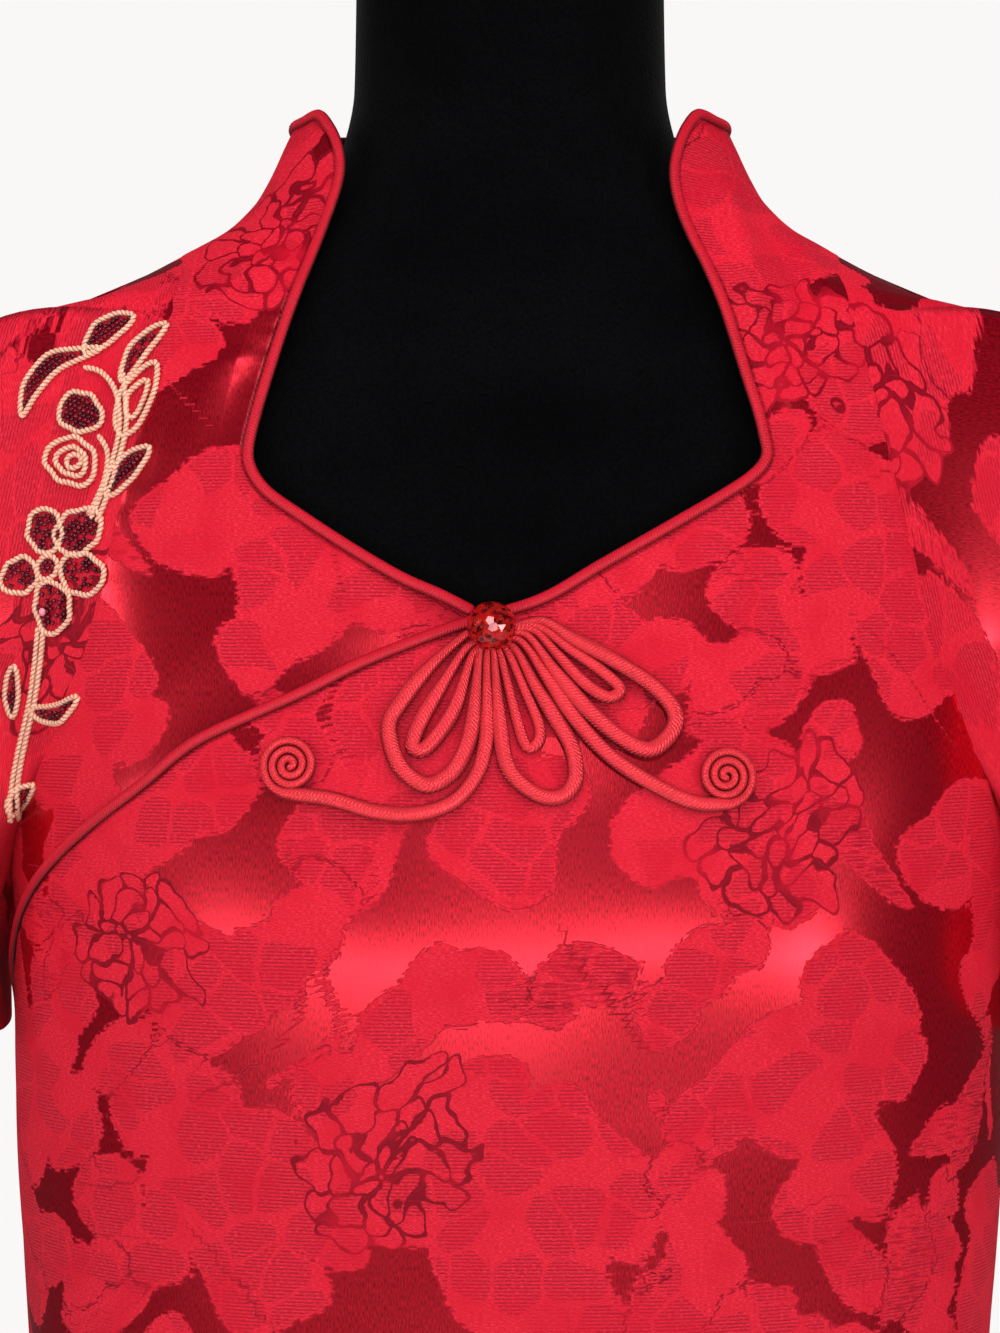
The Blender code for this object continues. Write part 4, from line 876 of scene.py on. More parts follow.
front_start = np.where(front_heights <= 1.110, side_turns(np.minimum(front_heights, 1.110), -1.0, inset=0.0012),
                       turn_on(front_cut, front_heights))
front_turn, front_height = panel_places(front_heights, front_start, side_turns(front_heights, 1.0), 230)
front_turn, front_height = add_wing_top(front_turn, front_height, True)
front_turn, front_height, front_lift = with_hem(front_turn, front_height, np.zeros(front_turn.shape))
front_plain = body.lifted(front_turn, front_height, front_lift)
front_cloth = cloth_map(front_height, front_plain)
FRONT_CREASES = (
    (((0.0690, 1.4120), (0.0745, 1.3860), (0.0800, 1.3540)), 0.0021, 0.0046),
    (((0.0790, 1.4010), (0.0900, 1.3800), (0.1000, 1.3560)), -0.0017, 0.0052),
    (((0.0860, 1.3960), (0.0980, 1.3790), (0.1060, 1.3620)), 0.0014, 0.0040),
    (((0.0700, 1.3520), (0.0860, 1.3390), (0.1000, 1.3330)), 0.0010, 0.0060),
    (((0.0880, 1.3450), (0.1020, 1.3180), (0.1180, 1.2950)), 0.0010, 0.0085),
)
front_lift = (front_lift + soft_folds(front_plain, FRONT_CREASES)
              + settled(front_plain, front_cloth, (0.0006, 0.0002)))
front_marks = woven_figure(front_cloth, (54.0, 336.0))
front_marks["stitched"] = from_edge(front_plain, front_edge_run)
front = wrapped_grid("front_cloth", body.lifted(front_turn, front_height, front_lift), silk, front_cloth,
                     front_marks)
belongs(front, "red_silk_jacquard", "front_panel")

# Right front: a second piece with the other wing. It lies under the front along the placket, comes out above
# it, and ends at the side seam, the armhole, the shoulder seam and its own neckline.
UNDERLAP_WIDTH = 0.022
UNDERLAP_SUNK = 0.0020
UNDERLAP_RISE = 0.030

underlap_heights = np.concatenate((np.linspace(1.118, 1.335, 100)[:-1], np.linspace(1.335, 1.395, 64)[:-1],
                                   np.linspace(1.395, 1.4265, 18)))
right_edge_run = smooth_run(on_body(front_places(NECK_RUN_RIGHT)), 0.0015)
right_cut = place_of(beside(place_of(right_edge_run), -TUCKED_EDGE))
placket_run = place_of(smooth_run(on_body(front_places(PLACKET_RUN[2:-2])), 0.003))
underlap_foot = np.vstack((place_of(beside(placket_run, UNDERLAP_WIDTH)),
                           front_places(((0.0040, 1.2380), (0.0100, 1.2500), (0.0060, 1.2610))), right_cut))
placket_chart = np.array(PLACKET_RUN)


def sunk(spots):
    """How far the underlap lies inside: under the front, then out to the surface."""
    over = (spots[..., 0] - placket_chart[-1, 0]) * 0.33 + placket_chart[-1, 1]
    line = np.where(spots[..., 0] > placket_chart[-1, 0], over,
                    np.interp(spots[..., 0], placket_chart[:, 0], placket_chart[:, 1]))
    part = np.clip((spots[..., 2] - line - 0.003) / UNDERLAP_RISE, 0.0, 1.0)
    return -UNDERLAP_SUNK * (1.0 - part * part * (3.0 - 2.0 * part))


underlap_start = side_turns(underlap_heights, -1.0)
underlap_end = np.maximum(turn_on(underlap_foot, underlap_heights), underlap_start + 0.06)
underlap_turn, underlap_height = panel_places(underlap_heights, underlap_start, underlap_end, 96)
underlap_turn, underlap_height = add_wing_top(underlap_turn, underlap_height, False)
underlap_plain = body.points(underlap_turn, underlap_height)
underlap_cloth = cloth_map(underlap_height, underlap_plain)
UNDERLAP_CREASES = (
    (((-0.0560, 1.4100), (-0.0680, 1.3990), (-0.0830, 1.3900)), 0.0019, 0.0042),
    (((-0.0640, 1.3960), (-0.0790, 1.3840), (-0.0930, 1.3760)), -0.0016, 0.0046),
    (((-0.0700, 1.3860), (-0.0860, 1.3720), (-0.1000, 1.3640)), 0.0013, 0.0044),
    (((-0.0740, 1.3560), (-0.0880, 1.3450), (-0.1010, 1.3380)), 0.0009, 0.0060),
    (((-0.0860, 1.3560), (-0.1000, 1.3300), (-0.1130, 1.3050)), 0.0009, 0.0085),
)
underlap_lift = (sunk(underlap_plain) + soft_folds(underlap_plain, UNDERLAP_CREASES)
                 + settled(underlap_plain, underlap_cloth, (0.0002, 0.0006)))
underlap_marks = woven_figure(underlap_cloth, (91.0, 41.0))
underlap_marks["stitched"] = from_edge(underlap_plain, right_edge_run)
underlap = wrapped_grid("right_front_cloth", body.lifted(underlap_turn, underlap_height, underlap_lift), silk,
                        underlap_cloth, underlap_marks)
belongs(underlap, "red_silk_jacquard", "front_underlap")

# Back of the dress: one piece from the hem to the stand collar that is grown on, with open slits in the side
# seams.
COLLAR_BACK_RISE = 0.0090
COLLAR_START = 1.4050

back_heights = np.concatenate((np.linspace(HEM + 0.0015, 1.020, 60)[:-1], np.linspace(1.020, 1.335, 70)[:-1],
                               np.linspace(1.335, 1.395, 40)[:-1],
                               np.linspace(1.395, COLLAR_SIDE_TOP - TUCKED_EDGE, 16)))
back_turn, back_height = panel_places(back_heights, side_turns(back_heights, 1.0, back=True),
                                      2 * math.pi + side_turns(back_heights, -1.0, back=True), 200)
back_share = np.clip((back_height - COLLAR_START) / (COLLAR_SIDE_TOP - TUCKED_EDGE - COLLAR_START), 0.0, 1.0)
back_height = back_height + back_share * COLLAR_BACK_RISE * np.cos(back_turn) ** 2
back_turn, back_height, back_lift = with_hem(back_turn, back_height, np.zeros(back_turn.shape))
back_plain = body.lifted(back_turn, back_height, back_lift)
back_cloth = cloth_map(back_height, back_plain)
back_lift = back_lift + settled(back_plain, back_cloth, (0.0002, 0.0002))
back_marks = woven_figure(back_cloth, (120.0, 20.0))
back_marks["stitched"] = np.full(back_plain.shape[:2], 50.0)
back = wrapped_grid("back_cloth", body.lifted(back_turn, back_height, back_lift), silk, back_cloth, back_marks)
belongs(back, "red_silk_jacquard", "back_panel")

# Cap sleeves: each is one piece, set into the armhole and closed by a short seam under the arm. It runs on
# from the shoulder without a step, falls over the outer side, and its hem is turned in.
SLEEVE_FALL = ((0.1885, -0.0040, 1.2310), (0.0180, 0.0, 0.0840), 0.0620)
SLEEVE_HEM = ((0.1925, -0.0040, 1.1480), (0.0230, 0.0, 0.0200), 0.0600)
SLEEVE_CROWDING = 0.5
SHOULDER_FULLNESS, UNDERARM_FULLNESS = 0.80, 0.35
SHOULDER_DROP, UNDERARM_DROP = 0.36, 0.30
UNDERARM_TOP, UNDERARM_EASING = 1.240, 0.035
SLEEVE_CLOTH_TOP = 1.400
PUCKERS = 60


def at_shares(run, shares):
    length = np.concatenate(([0.0], np.cumsum(np.linalg.norm(np.diff(run, axis=0), axis=1))))
    return np.stack([np.interp(np.asarray(shares) * length[-1], length, run[:, k]) for k in range(3)], axis=1)


def unit(vectors):
    return vectors / np.linalg.norm(vectors, axis=-1, keepdims=True)


def sleeve_spots(side):
    shares = np.linspace(0.0, 1.0, 91)
    shares = shares - SLEEVE_CROWDING * np.sin(2 * math.pi * shares) / (2 * math.pi)
    fore = at_shares(on_body(smoothed_armhole(side)), shares)
    aft = at_shares(on_body(smoothed_armhole(side, back=True)), shares)
    seam = np.vstack((fore, aft[::-1][1:]))
    middle, reach_up = (ARMHOLE_TOP + ARMHOLE_FOOT) / 2, (ARMHOLE_TOP - ARMHOLE_FOOT) / 2
    angle = np.arctan2(-(seam[:, 1] + 0.0040) / SLEEVE_FALL[2], (seam[:, 2] - middle) / reach_up)
    places = place_of(seam)
    normal = body.normals(places[:, 0], places[:, 1])
    ring = seam[:-1]
    along = unit(np.roll(ring, -1, axis=0) - np.roll(ring, 1, axis=0))
    along = np.vstack((along, along[:1]))
    into = unit(np.cross(normal, along)) * side
    low = np.clip((UNDERARM_TOP - seam[:, 2]) / UNDERARM_EASING, 0.0, 1.0)
    low = (low * low * (3 - 2 * low))[:, None]
    starts = seam - normal * 0.00035 - into * 0.0010
    runs = unit(into * (1 - low) + np.array((0.30 * side, 0.0, -1.0)) * low)
    mirror = np.array((side, 1.0, 1.0))

    def ring_at(sizes):
        centre, outward, depth = sizes
        return (np.array(centre) + np.outer(np.cos(angle), outward)
                + np.outer(-depth * np.sin(angle), (0.0, 1.0, 0.0))) * mirror

    fall, hem = ring_at(SLEEVE_FALL), ring_at(SLEEVE_HEM)
    drop = unit(hem - fall)
    reach = np.linalg.norm(fall - starts, axis=1, keepdims=True)
    first = starts + runs * reach * (SHOULDER_FULLNESS * (1 - low) + UNDERARM_FULLNESS * low)
    second = fall - drop * reach * (SHOULDER_DROP * (1 - low) + UNDERARM_DROP * low)
    rows = [starts * (1 - t) ** 3 + first * 3 * t * (1 - t) ** 2 + second * 3 * t * t * (1 - t) + fall * t ** 3
            for t in np.linspace(0.0, 1.0, 31)]
    rows += [fall + (hem - fall) * t for t in np.linspace(0.0, 1.0, 13)[1:]]
    inward = -unit(np.outer(np.cos(angle), (1.0, 0.0, 0.0)) * side + np.outer(-np.sin(angle), (0.0, 1.0, 0.0)))
    rows.append(hem + drop * 0.0006 + inward * 0.0006)
    rows += [hem + drop * along_hem + inward * 0.0013 for along_hem in (0.0, -0.006, -0.013, -0.020)]
    spots = np.array(rows)
    return spots if side > 0 else spots[:, ::-1]


def make_sleeve(name, side, shift):
    spots = sleeve_spots(side)
    downward = np.concatenate((np.zeros((1, spots.shape[1])),
                               np.cumsum(np.linalg.norm(np.diff(spots, axis=0), axis=2), axis=0)))
    ring = spots[30]
    around = np.concatenate(([0.0], np.cumsum(np.linalg.norm(np.diff(ring, axis=0), axis=1))))
    weft = np.where(around > around[-1] / 2, around - around[-1], around)
    cloth = np.stack((np.broadcast_to(weft, downward.shape), SLEEVE_CLOTH_TOP - downward), axis=-1)
    marks = woven_figure(cloth, shift)
    marks["stitched"] = np.full(spots.shape[:2], 50.0)
    pucker = 0.00018 * np.sin(np.linspace(0, 1, spots.shape[1]) * 2 * math.pi * PUCKERS) * np.exp(-downward / 0.006)
    spots = spots + pucker[..., None] * np.array((0.0, -1.0, 0.3)) * np.sign(-spots[..., 1:2])
    return wrapped_grid(name, spots, silk, cloth, marks, welded=True)


left_sleeve = make_sleeve("left_sleeve_cloth", 1.0, (60.0, 130.0))
belongs(left_sleeve, "red_silk_jacquard", "sleeve_left")
right_sleeve = make_sleeve("right_sleeve_cloth", -1.0, (150.0, 40.0))
belongs(right_sleeve, "red_silk_jacquard", "sleeve_right")

# Piping: a folded bias strip of the satin round a fine cord, sewn into the free edges: front with its placket
# and wing, right neckline and wing, and the top of the back collar. The crosswise threads show as fine ribs.
ROULEAU_RED = (1.0, 0.042, 0.062)


def ribbed_satin(name, pitch, slant, deep, base, roughness, metallic):
    """Satin strip drawn into a tube: ribs across it, a little aslant, with painted shade in the rib troughs and down
    its sides, which leaves its back lit.
    """
    satin, tree, shader = new_finish(name)
    node, calc, grade, tint = (partial(tool, tree) for tool in (add_node, sums, ramp, blend_colours))
    cloth = node("ShaderNodeUVMap", uv_map="cloth").outputs[0]
    mm = node("ShaderNodeVectorMath", {0: cloth, 3: 1000.0}, operation="SCALE").outputs[0]
    parts = node("ShaderNodeSeparateXYZ", {0: mm})
    wander = node("ShaderNodeTexNoise", {"Vector": mm, "Scale": 0.35, "Detail": 2.0}, noise_dimensions="2D")
    run = calc("MULTIPLY_ADD", parts.outputs[0], slant, parts.outputs[1])
    run = calc("MULTIPLY_ADD", wander.outputs[0], 0.5, run)
    rib = calc("SINE", calc("MULTIPLY", run, 2 * math.pi / pitch))
    fibres = node("ShaderNodeTexNoise", {"Vector": node("ShaderNodeVectorMath", {0: mm, 1: (0.6, 5.0, 1.0)},
                                                        operation="MULTIPLY").outputs[0], "Scale": 1.0,
                                         "Detail": 2.0}, noise_dimensions="2D")
    worn = node("ShaderNodeTexNoise", {"Vector": mm, "Scale": 0.06, "Detail": 3.0}, noise_dimensions="2D")
    # Painted shade: the troughs between the ribs are darkened.
    tone = tint(grade(rib, 0.5, -1.0), base, tuple(part * 0.38 for part in base))
    tone = tint(grade(fibres.outputs[0], 0.62, 0.30), tone, tuple(part * 0.72 for part in base))
    tone = tint(grade(worn.outputs[0], 0.75, 0.40), tone, tuple(part * 0.85 for part in base))
    # Painted shade: the tube is darkened from its crown down its sides and underside, so its back looks lit.
    painted_shade_crown = node("ShaderNodeAttribute", attribute_name="painted_shade_crown").outputs["Fac"]
    tone = tint(grade(painted_shade_crown, 0.85, 0.10), tone, tuple(part * 0.10 for part in base))
    tree.links.new(tone, shader.inputs["Base Color"])
    tree.links.new(calc("MULTIPLY_ADD", fibres.outputs[0], 0.16, roughness), shader.inputs["Roughness"])
    shader.inputs["Metallic"].default_value = metallic
    shader.inputs["Specular IOR Level"].default_value = 0.4
    shader.inputs["Sheen Weight"].default_value = 0.06
    shader.inputs["Sheen Tint"].default_value = (1.0, 0.35, 0.42, 1.0)
    height = calc("MULTIPLY_ADD", fibres.outputs[0], 0.12, calc("MULTIPLY", rib, 0.5))
    bump = node("ShaderNodeBump", {"Height": height, "Strength": 0.7, "Distance": deep})
    tree.links.new(bump.outputs[0], shader.inputs["Normal"])
    return satin


piping_satin = ribbed_satin("piping_bias_satin", 0.95, 0.35, 0.00016, (0.66, 0.005, 0.024), 0.40, 0.12)


def swept(name, run, outward, half_width, half_height, finish, sides=12, ridges=None):
    """A strip or cord drawn along a run of points, its ends rounded, with a map round and along it in metres."""
    count = len(run)
    half_width = np.broadcast_to(half_width, count).astype(float)
    half_height = np.broadcast_to(half_height, count).astype(float)
    tangent = unit(np.gradient(run, axis=0))
    length = np.concatenate(([0.0], np.cumsum(np.linalg.norm(np.diff(run, axis=0), axis=1))))
    side = unit(np.cross(tangent, outward))
    upward = unit(np.cross(side, tangent))
    angle = np.linspace(0.0, 2 * math.pi, sides + 1)
    shape = ridges(angle[None, :], length[:, None]) if ridges else np.ones((count, sides + 1))
    rings = (run[:, None] + side[:, None] * (half_width[:, None] * np.sin(angle) * shape)[..., None]
             + upward[:, None] * (half_height[:, None] * np.cos(angle) * shape)[..., None])
    rings[:, -1] = rings[:, 0]

    def closing(index, sign):
        rows = []
        for turn in (math.radians(30), math.radians(60), math.radians(90)):
            centre = run[index] + sign * tangent[index] * half_height[index] * math.sin(turn)
            rows.append(centre + (rings[index] - run[index]) * math.cos(turn))
        rows[-1][:] = run[index] + sign * tangent[index] * half_height[index]
        return rows

    first, last = closing(0, -1.0), closing(-1, 1.0)
    spots = np.concatenate((np.array(first[::-1]), rings, np.array(last)))
    lengths = np.concatenate((np.full(3, length[0]), length, np.full(3, length[-1])))
    rounds = angle * float(np.mean(np.maximum(half_width, half_height)))
    cloth = np.stack(np.broadcast_arrays(rounds[None, :], lengths[:, None]), axis=-1)
    # Height round the tube of each place, which the satin uses for painted shade down its sides.
    painted_shade_crown = np.broadcast_to(np.cos(angle)[None, :], spots.shape[:2])
    return wrapped_grid(name, spots, finish, cloth, {"painted_shade_crown": painted_shade_crown}, welded=True)


def lay_piping(name, places, node):
    run = smooth_run(on_body(places), 0.0009)
    found = place_of(run)
    outward = body.normals(found[:, 0], found[:, 1])
    run = run + outward * 0.0003
    full = 0.8 if node == "piping_collar_back" else 1.0
    piping = swept(name, run, outward, PIPING_RADIUS * full, PIPING_RADIUS * 0.72 * full, piping_satin,
                   sides=14)
    belongs(piping, "red_silk_jacquard", node)


def collar_end(side, back=False):
    depth = body.at(np.array(COLLAR_SIDE_TOP))[2 if back else 1]
    return side * (QUARTER + (0.0007 if back else -0.0007) / float(depth))


def over_wing(line, side):
    """A neckline, run on over the top of its wing to the collar's side seam."""
    start, end = line[-1, 0], collar_end(side)
    return np.vstack((line, [(start + (end - start) * share, WING_TOP + WING_TOP_RISE * share)
                             for share in (0.35, 0.7, 1.0)]))


side_heights = np.append(np.linspace(SLIT_TOP + 0.002, 1.118, 40), PLACKET_FOOT)
side_places = np.stack((np.full(len(side_heights), -QUARTER), side_heights), axis=1)
front_line = np.vstack((side_places, front_places(PLACKET_RUN + NECK_RUN_LEFT)))
lay_piping("front_piping", over_wing(front_line, 1.0), "piping_front")
lay_piping("right_neck_piping", over_wing(front_places(NECK_RUN_RIGHT), -1.0), "piping_underlap")
collar_turns = np.linspace(collar_end(1.0, back=True), 2 * math.pi + collar_end(-1.0, back=True), 61)
collar_heights = COLLAR_SIDE_TOP + COLLAR_BACK_RISE * np.cos(collar_turns) ** 2
lay_piping("back_collar_piping", np.stack((collar_turns, collar_heights), axis=1), "piping_collar_back")

# Frog: tubes of satin turned right side out and laid in loops that fan out under the button, with two tails
# that end in spirals. They lie close like pleats at the top, widen in the loops, and are sewn down from
# behind.
FROG_LOOPS = {
    "frog_loop_left_outer": (0.0019, (
        (-0.0138, 1.2583), (-0.0245, 1.2488), (-0.0338, 1.2372), (-0.0373, 1.2296), (-0.0338, 1.2184),
        (-0.0259, 1.2127), (-0.0186, 1.2158), (-0.0140, 1.2230), (-0.0116, 1.2324), (-0.0098, 1.2519))),
    "frog_loop_left_inner": (0.0018, (
        (-0.0141, 1.2537), (-0.0204, 1.2440), (-0.0272, 1.2324), (-0.0299, 1.2251), (-0.0271, 1.2230),
        (-0.0226, 1.2272), (-0.0171, 1.2360), (-0.0122, 1.2510))),
    "frog_loop_middle_outer": (0.0018, (
        (-0.0052, 1.2507), (-0.0034, 1.2300), (-0.0007, 1.2173), (0.0078, 1.2098), (0.0154, 1.2094),
        (0.0194, 1.2149), (0.0183, 1.2240), (0.0134, 1.2328), (0.0072, 1.2430), (0.0017, 1.2532))),
    "frog_loop_middle_inner": (0.0013, (
        (-0.0030, 1.2510), (0.0012, 1.2342), (0.0045, 1.2246), (0.0080, 1.2254), (0.0085, 1.2309),
        (0.0045, 1.2406), (-0.0006, 1.2522))),
    "frog_loop_right_outer": (0.0019, (
        (0.0052, 1.2577), (0.0137, 1.2464), (0.0235, 1.2351), (0.0335, 1.2266), (0.0420, 1.2233),
        (0.0488, 1.2287), (0.0495, 1.2351), (0.0435, 1.2424), (0.0303, 1.2510), (0.0187, 1.2571),
        (0.0094, 1.2625))),
    "frog_loop_right_inner": (0.0015, (
        (0.0067, 1.2596), (0.0138, 1.2525), (0.0223, 1.2435), (0.0295, 1.2392), (0.0332, 1.2418),
        (0.0275, 1.2474), (0.0180, 1.2540), (0.0080, 1.2609))),
}
FROG_TAILS = {  # half width, run, spiral's middle, and the way it winds
    "frog_tail_left": (0.0016, (
        (-0.0075, 1.2510), (-0.0074, 1.2348), (-0.0078, 1.2248), (-0.0105, 1.2160), (-0.0172, 1.2080),
        (-0.0280, 1.2042), (-0.0405, 1.2046), (-0.0545, 1.2084)), (-0.0673, 1.2185), -1.0),
    "frog_tail_right": (0.0016, (
        (0.0037, 1.2555), (0.0110, 1.2450), (0.0195, 1.2325), (0.0306, 1.2208), (0.0450, 1.2118),
        (0.0560, 1.2072)), (0.0653, 1.2153), 1.0),
}
SPIRAL_REACH, SPIRAL_PITCH, SPIRAL_TURNS = 0.0100, 0.0027, 2.9
PLEAT_HALF_WIDTH, PLEAT_HALF_HEIGHT = 0.00134, 0.00145
TAIL_HALF_WIDTH, SPIRAL_HALF_WIDTH = 0.0024, 0.00136
BUTTON_PLACE = (-0.0059, 1.2590)
rouleau_satin = ribbed_satin("frog_rouleau_satin", 1.18, 0.75, 0.00026, ROULEAU_RED, 0.24, 0.38)
button_foot = on_body(front_places([BUTTON_PLACE]))[0]


def drawn_under(end):
    """Where a strand ends under the button, from the last point of its chart."""
    way = np.array(BUTTON_PLACE) - np.array(end)
    return tuple(np.array(end) + way * (1.0 - 0.0046 / np.linalg.norm(way)))


def rouleau_ridges(angle, length):
    """The turned tube is a little flat, with one fold along it."""
    fold = 0.16 * np.exp(-((angle - 0.85 - 0.25 * np.sin(length * 160)) / 0.20) ** 2)
    return 1.0 - fold + 0.0 * length


def lay_rouleau(name, chart, radius, spiral_start=None):
    chart = [drawn_under(chart[0])] + list(chart) + ([] if spiral_start is not None else [drawn_under(chart[-1])])
    run = smooth_run(np.array(chart), 0.0006)
    spiral_from = None if spiral_start is None else int(np.argmin(np.hypot(*(run - np.array(spiral_start)).T)))
    places = front_places(run)
    plain = on_body(places)
    away = np.linalg.norm(plain - button_foot, axis=1)
    open_out = np.clip((away - 0.009) / 0.024, 0.0, 1.0)
    open_out = open_out * open_out * (3 - 2 * open_out)
    full = radius * 1.38 if spiral_from is None else TAIL_HALF_WIDTH
    half_width = np.minimum(PLEAT_HALF_WIDTH + (full - PLEAT_HALF_WIDTH) * open_out, away * 0.132 + 0.00025)
    if spiral_from is not None:
        wound = np.clip((np.arange(len(run)) - spiral_from) / 22.0 + 0.5, 0.0, 1.0)
        half_width = half_width + (SPIRAL_HALF_WIDTH - half_width) * wound * wound * (3 - 2 * wound)
    half_height = PLEAT_HALF_HEIGHT + (radius * 0.92 - PLEAT_HALF_HEIGHT) * open_out
    outward = body.normals(places[:, 0], places[:, 1])
    points = plain + outward * (half_height + 0.0002)[:, None]
    rouleau = swept(name.replace("frog", "rouleau"), points, outward, half_width, half_height, rouleau_satin,
                    sides=20, ridges=rouleau_ridges)
    belongs(rouleau, "red_satin_rouleau", name)


for name, (radius, chart) in FROG_LOOPS.items():
    lay_rouleau(name, chart, radius)
for name, (radius, chart, middle, sense) in FROG_TAILS.items():
    turns = np.linspace(0.0, SPIRAL_TURNS, 59)
    angle = -QUARTER + sense * 2 * math.pi * turns
    reach = SPIRAL_REACH - 0.0014 - SPIRAL_PITCH * turns
    spiral = np.stack((middle[0] + reach * np.cos(angle), middle[1] + reach * np.sin(angle)), axis=1)
    lay_rouleau(name, np.vstack((chart, spiral)), radius, spiral[0])

# Button: a ball of dark red glass, cut all over in flat hexagons, which stands on the frog where its strands
# meet.
BUTTON_RADIUS, BUTTON_LIFT = 0.0079, 0.0095
GLINTS, GLINT_ANGLE = ((-0.58, -0.80, 0.13), (0.42, -0.906, -0.05)), 60.0  # two flats that catch the windows

cut_glass, glass_tree, glass_shader = new_finish("red_cut_glass")
glass_spots = add_node(glass_tree, "ShaderNodeTexCoord").outputs["Object"]
glass_cells = add_node(glass_tree, "ShaderNodeTexVoronoi", {"Vector": glass_spots, "Scale": 760.0,
                                                            "Randomness": 1.0})
glass_sparkle_edges = add_node(glass_tree, "ShaderNodeTexVoronoi", {"Vector": glass_spots, "Scale": 1500.0,
                                                            "Randomness": 1.0}, feature="DISTANCE_TO_EDGE")
glass_parts = add_node(glass_tree, "ShaderNodeSeparateXYZ", {0: glass_cells.outputs["Color"]})
glass_tone = blend_colours(glass_tree, ramp(glass_tree, glass_parts.outputs[0], 0.25, 0.85), (0.09, 0.0, 0.004),
                           (0.60, 0.006, 0.008))
# Painted sparkle: bright orange glints painted at the edges of some small cells, for the fire of cut glass.
glass_painted_sparkle = sums(glass_tree, "MULTIPLY", ramp(glass_tree, glass_sparkle_edges.outputs["Distance"], 0.06, 0.01),
                  ramp(glass_tree, glass_parts.outputs[1], 0.45, 0.75))
glass_tone = blend_colours(glass_tree, glass_painted_sparkle, glass_tone, (0.95, 0.07, 0.02))
glass_tree.links.new(glass_tone, glass_shader.inputs["Base Color"])
glass_shader.inputs["Metallic"].default_value = 0.45
glass_shader.inputs["Roughness"].default_value = 0.09
glass_shader.inputs["Coat Weight"].default_value = 0.15
glass_shader.inputs["Coat Roughness"].default_value = 0.02
glass_shader.inputs["Coat IOR"].default_value = 1.7

button_middle = Vector(body.lifted(*front_places([BUTTON_PLACE]).T, np.array([BUTTON_LIFT]))[0])
button_shape = bmesh.new()
bmesh.ops.create_icosphere(button_shape, subdivisions=2, radius=BUTTON_RADIUS)
corners = [vert.co.normalized() for vert in button_shape.verts if len(vert.link_edges) == 6]
first_flat = corners[0]
second_flat = min(corners, key=lambda corner: abs(corner.dot(first_flat) - math.cos(math.radians(GLINT_ANGLE))))
glints = [Vector(way).normalized() for way in GLINTS]


def upright(first, second):
    """Rotation whose axes follow two directions and what stands square to both."""
    along, out = (first - second).normalized(), (first + second).normalized()
    return Matrix((along, out, along.cross(out))).transposed()


bmesh.ops.bevel(button_shape, geom=button_shape.verts[:], offset=33.0, offset_type="PERCENT", affect="VERTICES",
                segments=1, profile=0.5, material=-1)
bmesh.ops.planar_faces(button_shape, faces=button_shape.faces[:], iterations=80, factor=0.5)
bmesh.ops.rotate(button_shape, verts=button_shape.verts, cent=(0.0, 0.0, 0.0),
                 matrix=upright(*glints) @ upright(first_flat, second_flat).transposed())
bmesh.ops.translate(button_shape, verts=button_shape.verts, vec=button_middle)
button_mesh = bpy.data.meshes.new("cut_glass_button")
button_shape.to_mesh(button_mesh)
button_shape.free()
button = place_object("cut_glass_button", button_mesh, cut_glass)
belongs(button, "red_crystal_bead", "ball_button")

# Embroidery: a spray of flowers down the wearer's right shoulder, across the armhole seam. Twisted gold cord
# is couched down along each outline, and the petals and leaves inside are filled with dark seed beads.
SPRAY_MIDDLE = (-0.1370, 1.2832)
CORD_RADIUS, CORD_TWIST = 0.00088, 0.00155
SEED_RADIUS = 0.00084
SEED_STEP, SEED_CLEARANCE = 1.62, 1.15
PINK_BEAD = (-12.4, -16.8)
ORNAMENTS = (  # x, y, angle, length, width, bend, share filled with beads, size of an outline inside
    (8, 73, 36, 20, 8.0, 1.6, 1.0, 0), (20, 66.5, 52, 24, 5.8, 2.2, 0.9, 0),
    (-8, 57, 40, 34, 6.6, 7.0, 1.0, 0), (-1, 47, -24, 15, 12.5, 0.4, 1.0, 0),
    (18.5, 51, 66, 26, 10.5, 1.2, 0.0, 0.52), (-3.5, 31, -32, 18, 14.5, 0.6, 0.0, 0.6),
    (-2.6, 31.5, 20, 5.4, 4.4, 0.0, 0.0, 0), (15.5, 28, 47, 21, 7.4, 0.8, 1.0, 0),
    (-11.6, 9.6, 100, 14.5, 11.5, 0.6, 0.85, 0), (-0.4, 8.6, 38, 17, 13.5, 0.5, 0.95, 0),
    (1.2, -4.6, -24, 15.5, 13, -0.5, 0.55, 0), (-9.6, -15.6, -84, 17, 12, 0.6, 0.55, 0),
    (-20.6, -5.0, 215, 13, 11, 0.4, 0.7, 0), (-11.0, -2.4, 62, 8.0, 6.8, 0.0, 1.0, 0),
    (-8.5, -46.0, 14, 18, 5.8, -3.6, 1.0, 0), (-23.0, -42.0, 88, 17, 4.6, 0.4, 1.0, 0),
    (-20.0, -77.0, 48, 13, 5.2, 1.0, 1.0, 0),
)
STEM_CORDS = (
    ((0, 62), (6, 60), (11, 53), (12.4, 42), (10.2, 31), (7.0, 21), (3.6, 13)),
    ((12.5, 62), (14.0, 52), (14.6, 42), (12.0, 30), (8.8, 20), (5.6, 12)),
    ((5.5, 39.5), (8.6, 34), (8.0, 26), (5.2, 19), (2.6, 14)),
    ((-12.2, -22), (-13.4, -33), (-15.4, -46), (-18.6, -59), (-20.8, -70), (-22.6, -84)),
    ((-14.1, -22), (-15.3, -33), (-17.3, -46), (-20.5, -59), (-22.7, -70), (-24.5, -84)),
)

